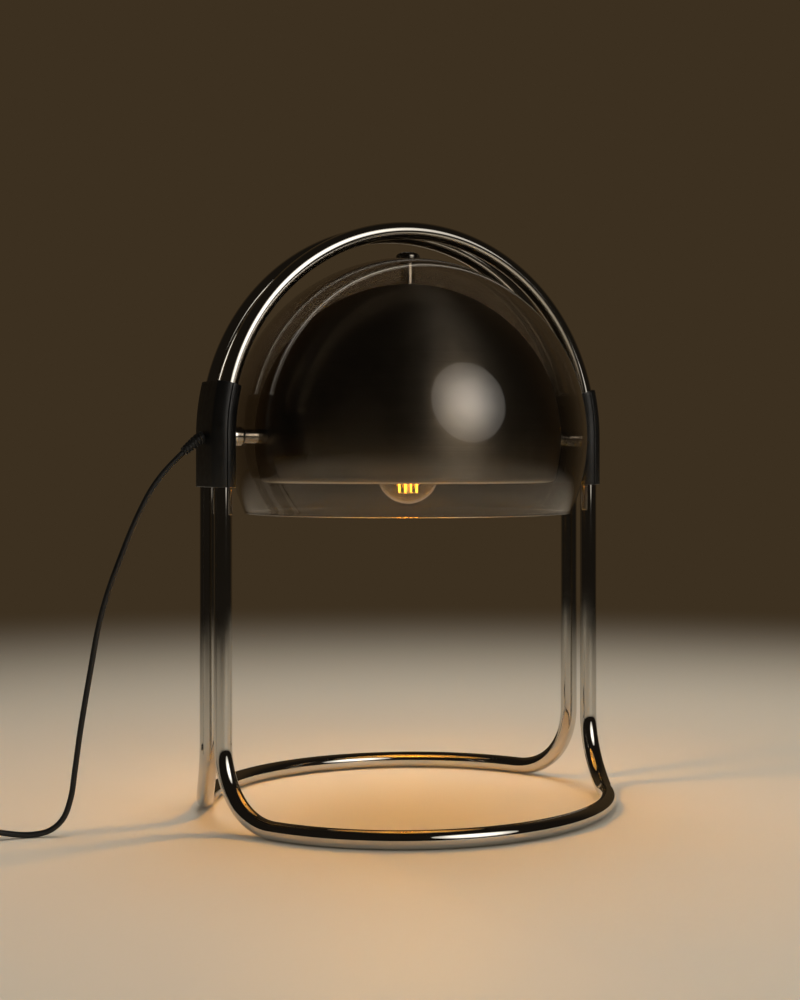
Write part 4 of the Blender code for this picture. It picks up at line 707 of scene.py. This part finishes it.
def ribbed(piece, low, high, count, depth):
    # grip ribs: points of the outer skin between two heights move in by depth * (1 + cos(count * angle)) / 2
    mesh = piece.data
    points = np.zeros(len(mesh.vertices) * 3)
    mesh.vertices.foreach_get("co", points)
    points = points.reshape(-1, 3)
    radius = np.hypot(points[:, 0], points[:, 1])
    z = points[:, 2] - axleHeight
    angle = np.arctan2(points[:, 1], points[:, 0])
    inBand = (z > low) & (z < high) & (radius > holderSettings["radius"] - 0.0006)
    scale = 1 - inBand * depth * (1 + np.cos(count * angle)) / 2 / np.maximum(radius, 1e-6)
    points[:, 0] *= scale
    points[:, 1] *= scale
    mesh.vertices.foreach_set("co", points.ravel())
    mesh.update()


holder = holderSettings
skirt = turnedPiece("holderSkirt", rounded([
    (holder["radius"] - holder["wall"], holder["low"]), (holder["radius"], holder["low"]),
    (holder["radius"], holder["low"] + 0.006), (holder["radius"], holder["low"] + 0.0068),
    (holder["radius"], holder["high"] - 0.0048), (holder["radius"], holder["high"] - 0.004),
    (holder["radius"], holder["high"]), (holder["radius"] - holder["wall"], holder["high"])], 0.0006),
    phenolic, "shade", ["holder_skirt"], segments=192)
ribbed(skirt, holder["low"] + 0.0064, holder["high"] - 0.0044, 32, 0.0007)
turnedPiece("holderCap", rounded([
    (holder["radius"] - holder["wall"], holder["capLow"]), (holder["radius"], holder["capLow"]),
    (holder["radius"], holder["shoulder"]), (0.0085, holder["capHigh"]), (0.0054, holder["capHigh"]),
    (0.0054, holder["capHigh"] - holder["wall"]),
    (holder["radius"] - holder["wall"], holder["shoulder"] - holder["wall"])], 0.0012), phenolic, "shade",
    ["holder_cap"])

# bulb: glass, screw cap with a rolled thread, light strips on a glass stem
bulbSettings = {"tip": -0.0622, "radius": 0.030, "length": 0.080, "neck": 0.0120, "wall": 0.0009,
                "stripDepth": 0.030, "stripLength": 0.0404, "stripRow": 0.0085}


def bulbOutline(settings, inset):
    tip, radius = settings["tip"], settings["radius"]
    centre = tip + radius
    r = radius - inset
    angle = np.linspace(-math.pi / 2, math.radians(32), 40)
    ball = np.column_stack([np.maximum(r * np.cos(angle), 0.0001), centre + r * np.sin(angle)])
    top = tip + settings["length"]
    a = ball[-1]
    b = np.array([settings["neck"] - inset, top - 0.0089])
    pull = 0.020
    # the shoulder is a cubic curve from the ball's tangent to the straight neck
    c1 = a + pull * np.array([-math.sin(angle[-1]), math.cos(angle[-1])])
    c2 = b - np.array([0, pull * 0.6])
    t = np.linspace(0, 1, 21)[1:, None]
    shoulder = (1 - t) ** 3 * a + 3 * t * (1 - t) ** 2 * c1 + 3 * t * t * (1 - t) * c2 + t ** 3 * b
    return np.vstack([ball, shoulder, [(b[0], top)]])


glassInside = bulbOutline(bulbSettings, bulbSettings["wall"])[::-1]
glassProfile = np.vstack([bulbOutline(bulbSettings, 0), glassInside])
bulb = turnedPiece("bulbGlass", glassProfile, bulbGlass, "shade", ["bulb_glass"], segments=72, smoothAngle=60)
bulb.visible_shadow = False
capLow = bulbSettings["tip"] + bulbSettings["length"] - 0.008
capHeights = np.linspace(capLow + 0.0035, capLow + 0.0235, 61)
# rolled thread: the wall follows a rounded wave of 3.6 mm pitch
capOuter = 0.0129 + 0.0003 * np.sin((capHeights - capLow) * 2 * math.pi / 0.0036)
capSkin = np.column_stack([capOuter, capHeights])
capProfile = np.vstack([[(0.0125, capLow), (0.0131, capLow), (0.0131, capLow + 0.003)], capSkin,
                        [(0.0110, capLow + 0.026), (0.0045, capLow + 0.026), (0.0043, capLow + 0.0272),
                         (0.0025, capLow + 0.0275), (0.0001, capLow + 0.0275), (0.0001, capLow + 0.0252),
                         (0.0105, capLow + 0.0252)], capSkin[::-1] - np.array([0.0006, 0])])
turnedPiece("bulbScrewCap", capProfile, capMetal, "shade", ["bulb_screw_cap"], segments=64)


def bulbInside(settings):
    top = settings["tip"] + settings["length"]
    high = top - settings["stripDepth"]
    low = high - settings["stripLength"]
    stem = [(0.0001, top - 0.0002), (0.0104, top - 0.0002), (0.0100, top - 0.0012),
            (0.0030, high + 0.003), (0.0020, high + 0.001), (0.0018, low + 0.002), (0.0024, low + 0.001),
            (0.0022, low), (0.0001, low)]
    turnedPiece("bulbStem", stem, bulbGlass, "shade", (), segments=32).visible_shadow = False
    for k in range(4):
        angle = (k + 0.5) * math.pi / 2
        x, y = settings["stripRow"] * math.cos(angle), settings["stripRow"] * math.sin(angle)
        strip = rounded([(0.0001, low + 0.0006), (0.0010, low + 0.0006), (0.0010, high - 0.0006),
                         (0.0001, high - 0.0006)], 0.0004)
        turnedPiece(f"lightStrip{k + 1}", strip, lightStrips, "shade", (),
                                 (x, y, axleHeight), segments=20)
    for name, height in (("Upper", high - 0.0009), ("Lower", low + 0.0003)):
        cross = ringProfile(0.0080, 0.0090, height, height + 0.0006, 0.0002)
        turnedPiece(f"stripRing{name}", cross, zinc, "shade", (), segments=48)
    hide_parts("bulb_light_strips")


bulbInside(bulbSettings)
print("stage: shade fittings")

# strain relief: tapered boot with moulded rings, along the cord
bootSettings = {"length": 0.022, "base": 0.0058, "tip": 0.0040, "rings": 7, "groove": 0.0006, "bore": 0.0026}
runLength = np.concatenate([[0], np.cumsum(np.linalg.norm(np.diff(runLine, axis=0), axis=1))])
outOfClamp = float(np.interp(0.20278, -runLine[:, 0], runLength))


def bootPiece(name, settings, replaced):
    share = np.linspace(0, 1, 85)
    marks = outOfClamp + 0.0006 + share * settings["length"]
    centres = np.column_stack([np.interp(marks, runLength, runLine[:, k]) for k in range(3)])
    radii = settings["base"] + (settings["tip"] - settings["base"]) * share
    wave = np.clip(np.sin(share * settings["rings"] * 2 * math.pi), 0, 1) ** 2
    radii = radii - settings["groove"] * wave * (share > 0.1)
    radii[-4:] -= np.array([0, 0.0002, 0.0005, 0.0009])
    sides = np.tile([0.0, 1.0, 0.0], (85, 1))
    return sweptPiece(name, centres, sides, radii, settings["bore"], cordBlack, "stand", replaced, 36)


bootPiece("cordStrainRelief", bootSettings, ["cord_strain_relief"])


def roundedRectangle(length, width, corner, steps=8):
    outline = []
    for quarter, (across, along) in enumerate(((1, 1), (-1, 1), (-1, -1), (1, -1))):
        for step in range(steps + 1):
            angle = (quarter + step / steps) * math.pi / 2
            outline.append((across * (length / 2 - corner) + corner * math.cos(angle),
                            along * (width / 2 - corner) + corner * math.sin(angle)))
    return np.array(outline)


def pillow(name, outline, low, high, lowEdge, highEdge, finish, place, body="stand", replaced=()):
    # stacked copies of the outline, drawn in along quarter circles at the bottom and top edges
    outline = np.array(outline, float)
    ahead = np.roll(outline, -1, 0) - np.roll(outline, 1, 0)
    normal = np.column_stack([ahead[:, 1], -ahead[:, 0]])
    normal /= np.linalg.norm(normal, axis=1)[:, None]
    rows = []
    for edge, level, way in ((lowEdge, low, 1), (highEdge, high, -1)):
        angles = np.linspace(0, math.pi / 2, 6)
        if way < 0:
            angles = angles[::-1]
        for angle in angles:
            inset = edge * (1 - math.sin(angle))
            height = level + way * edge * (1 - math.cos(angle))
            ring = outline - normal * inset
            rows.append(np.column_stack([ring, np.full(len(ring), height)]))
    points = np.array(rows).reshape(-1, 3)
    count = len(outline)
    faces = gridFaces(len(rows), count, False, True)
    faces += [tuple(range(count)), tuple(range((len(rows) - 1) * count, len(rows) * count))]
    points = np.array([place @ Vector(p) for p in points])
    return meshPiece(name, points, faces, finish, body, replaced)


# in-line switch: two shells and the rocker in its window
switchSettings = {"at": (-0.416, 0.038, 0.0), "heading": 176.0, "length": 0.062, "width": 0.026,
                  "split": 0.008, "height": 0.018, "corner": 0.008, "pivot": 0.0145, "tilt": 8.0}
switchPlace = Matrix.Translation(switchSettings["at"]) @ Matrix.Rotation(
    math.radians(switchSettings["heading"]), 4, "Z")
switchOutline = roundedRectangle(switchSettings["length"], switchSettings["width"], switchSettings["corner"])
split = switchSettings["split"]
pillow("switchBase", switchOutline, 0.0, split - 0.00015, 0.0012, 0.0003, gripBlack, switchPlace,
       replaced=["switch_base"])
switchCover = pillow("switchCover", switchOutline, split + 0.00015, switchSettings["height"], 0.0003,
                     0.0026, gripBlack, switchPlace, replaced=["switch_cover"])
cutWindow(switchCover, (0.0215, 0.0107, 0.016), (0, 0, 0.0185), switchPlace)
rockerPlace = switchPlace @ Matrix.Translation((0, 0, switchSettings["pivot"])) @ Matrix.Rotation(
    math.radians(switchSettings["tilt"]), 4, "Y") @ Matrix.Rotation(math.pi / 2, 4, "X")
rockerOutline = rounded([(-0.0095, -0.002), (0.0095, -0.002), (0.0095, 0.0046), (0.0048, 0.0033),
                         (0.0, 0.0027), (-0.0048, 0.0033), (-0.0095, 0.0046)], 0.0008, 4)
pillow("switchRocker", rockerOutline, -0.005, 0.005, 0.0004, 0.0004, gripBlack, rockerPlace, "rocker",
       ["switch_rocker"])

# plug: flat body with a waisted grip, and two round pins
plugSettings = {"at": (-0.424, 0.163, 0.00685), "thick": 0.0137}
plugPlace = Matrix.Translation(plugSettings["at"])
plugOutline = rounded([(0, -0.008), (0.013, -0.0175), (0.030, -0.0175), (0.030, 0.0175), (0.013, 0.0175),
                       (0, 0.008)], 0.004, 8)
plugBody = pillow("plugBody", plugOutline, -0.00685, 0.00685, 0.0022, 0.0022, gripBlack, plugPlace,
                  replaced=["plug_body"])
plugBoot = turnedPiece("plugBoot", rounded([(0.0026, -0.0139), (0.0037, -0.0139), (0.0040, -0.0095),
                                            (0.0036, -0.009), (0.0041, -0.0085), (0.0043, -0.005),
                                            (0.0039, -0.0045), (0.0044, -0.004), (0.0046, 0.002),
                                            (0.0026, 0.002)], 0.0004), gripBlack, "stand", (),
                       plugSettings["at"], "x", 40)
plugBoot.parent = plugBody
for name, offset in (("Front", -0.0095), ("Rear", 0.0095)):
    pin = rounded([(0.0001, 0.0223), (0.0020, 0.0223), (0.0020, 0.0480), (0.0012, 0.0490),
                   (0.0001, 0.0490)], 0.0006)
    turnedPiece(f"plug{name}Pin", pin, brass, "stand", [f"plug_{name.lower()}_pin"],
                (plugSettings["at"][0], plugSettings["at"][1] + offset, plugSettings["at"][2]), "x", 32)
print("stage: switch and plug")

# CAD nodes that keep their shape get their real finish
kept = {
    "front_left_tube_spigot": zinc, "front_right_tube_spigot": zinc, "rear_left_tube_spigot": zinc,
    "rear_right_tube_spigot": zinc, "left_friction_washer": zinc, "right_friction_washer": zinc,
    "left_axle_lock_nut": zinc, "right_axle_lock_nut": zinc, "holder_centre_tongue": brass,
    "holder_ceramic_insert": whiteCeramic, "holder_thread_shell": brass, "switch_contact_strip": brass,
    "switch_inlet_screw": zinc, "switch_outlet_screw": zinc, "coil_tie": cordBlack,
}
for name, finish in kept.items():
    data = nodes[name].data
    data.materials.clear()
    data.materials.append(finish)

# floor, world and lights: a pale table surface, a dim warm room, soft boxes
floorMesh = bpy.data.meshes.new("floor")
floorMesh.from_pydata([(40 * math.cos(u), 40 * math.sin(u), 0) for u in np.linspace(0, 2 * math.pi, 97)[:-1]],
                      [], [tuple(range(96))])
floor = bpy.data.objects.new("floor", floorMesh)


def roomShade(tree, where):
    # the room is paler beyond the lamp than on the camera's side: a blend by direction from the lamp
    ahead = addNode(tree, "VectorMath", {"operation": "NORMALIZE"}, {0: where}).outputs[0]
    facing = addNode(tree, "VectorMath", {"operation": "DOT_PRODUCT", 1: (0.481, 0.877, 0)}, {0: ahead})
    share = addNode(tree, "MapRange", {"From Min": 0.25, "From Max": 0.8}, {"Value": facing.outputs["Value"]})
    share.interpolation_type = "SMOOTHSTEP"
    blend = addNode(tree, "Mix", {"data_type": "RGBA"}, {"Factor": share.outputs["Result"]})
    blend.inputs[6].default_value = linear("#1d1914")
    blend.inputs[7].default_value = linear("#3c3020")
    return blend.outputs[2]


floorFinish, floorTree, floorShader = newMaterial("pale painted surface", {
    "Base Color": linear("#c9c2b4"), "Roughness": 0.6})
# the far floor fades into the room's colour, so that no horizon line cuts the view
floorWhere = addNode(floorTree, "TexCoord").outputs["Object"]
floorFar = addNode(floorTree, "VectorMath", {"operation": "LENGTH"}, {0: floorWhere}).outputs["Value"]
floorFade = addNode(floorTree, "MapRange", {"From Min": 0.6, "From Max": 2.2}, {"Value": floorFar})
floorFade.interpolation_type = "SMOOTHSTEP"
room = addNode(floorTree, "Emission", links={"Color": roomShade(floorTree, floorWhere)})
mixed = addNode(floorTree, "MixShader", {}, {"Fac": floorFade.outputs["Result"]})
floorTree.links.new(floorShader.outputs["BSDF"], mixed.inputs[1])
floorTree.links.new(room.outputs["Emission"], mixed.inputs[2])
floorTree.links.new(mixed.outputs["Shader"], floorTree.nodes["Material Output"].inputs["Surface"])
floorMesh.materials.append(floorFinish)
scene.collection.objects.link(floor)

world = bpy.data.worlds.new("room")
world.use_nodes = True
roomTree = world.node_tree
roomTree.links.new(roomShade(roomTree, addNode(roomTree, "TexCoord").outputs["Generated"]),
                   roomTree.nodes["Background"].inputs["Color"])
scene.world = world


def softBox(name, place, target, size, power, shape="SQUARE"):
    data = bpy.data.lights.new(name, "AREA")
    data.shape = shape
    data.size = size
    data.energy = power
    data.color = linear("#fff8ee")[:3]
    light = bpy.data.objects.new(name, data)
    light.location = place
    light.rotation_euler = (Vector(target) - Vector(place)).to_track_quat("-Z", "Y").to_euler()
    scene.collection.objects.link(light)
    return light


middle = Vector((0, 0, 0.34))
key = softBox("round softbox", middle + Vector((0.17, -0.929, 0.33)) * 1.5, middle, 1.25, 12, shape="DISK")
# the cloth of a round softbox is brightest in its middle and dims towards its rim
key.data.use_nodes = True
keyTree = key.data.node_tree
onCloth = addNode(keyTree, "NewGeometry").outputs["Parametric"]
off = addNode(keyTree, "VectorMath", {"operation": "SUBTRACT", 1: (0.5, 0.5, 0)}, {0: onCloth}).outputs[0]
far = addNode(keyTree, "VectorMath", {"operation": "LENGTH"}, {0: off}).outputs["Value"]
dim = addNode(keyTree, "MapRange", {"From Max": 0.5, "To Min": 1.4, "To Max": 0.26}, {"Value": far})
dim.interpolation_type = "SMOOTHSTEP"
keyTree.links.new(dim.outputs["Result"], keyTree.nodes["Emission"].inputs["Strength"])
# the fill lights are kept out of the mirror reflections, where the photograph shows one round source
for name, place, power in (("overhead fill", (0.2, 0.5, 1.9), 24), ("left fill", (-1.6, -0.2, 0.9), 9),
                           ("right fill", (1.6, -0.1, 0.9), 7)):
    fill = softBox(name, place, middle, 1.2, power)
    fill.visible_glossy = False
    fill.visible_transmission = False
bulbLight = bpy.data.lights.new("bulb glow", "POINT")
bulbLight.energy = 3.1
bulbLight.color = linear("#ffb23a")[:3]
bulbLight.shadow_soft_size = 0.02
bulbLamp = bpy.data.objects.new("bulb glow", bulbLight)
bulbLamp.location = (0, 0, 0.312)
# the strips are what is seen of the lit bulb, not this lamp's ball
bulbLamp.visible_camera = False
bulbLamp.visible_transmission = False
bulbLamp.parent = frame["bodies"]["shade"]
scene.collection.objects.link(bulbLamp)
print("stage: floor, room and lights")
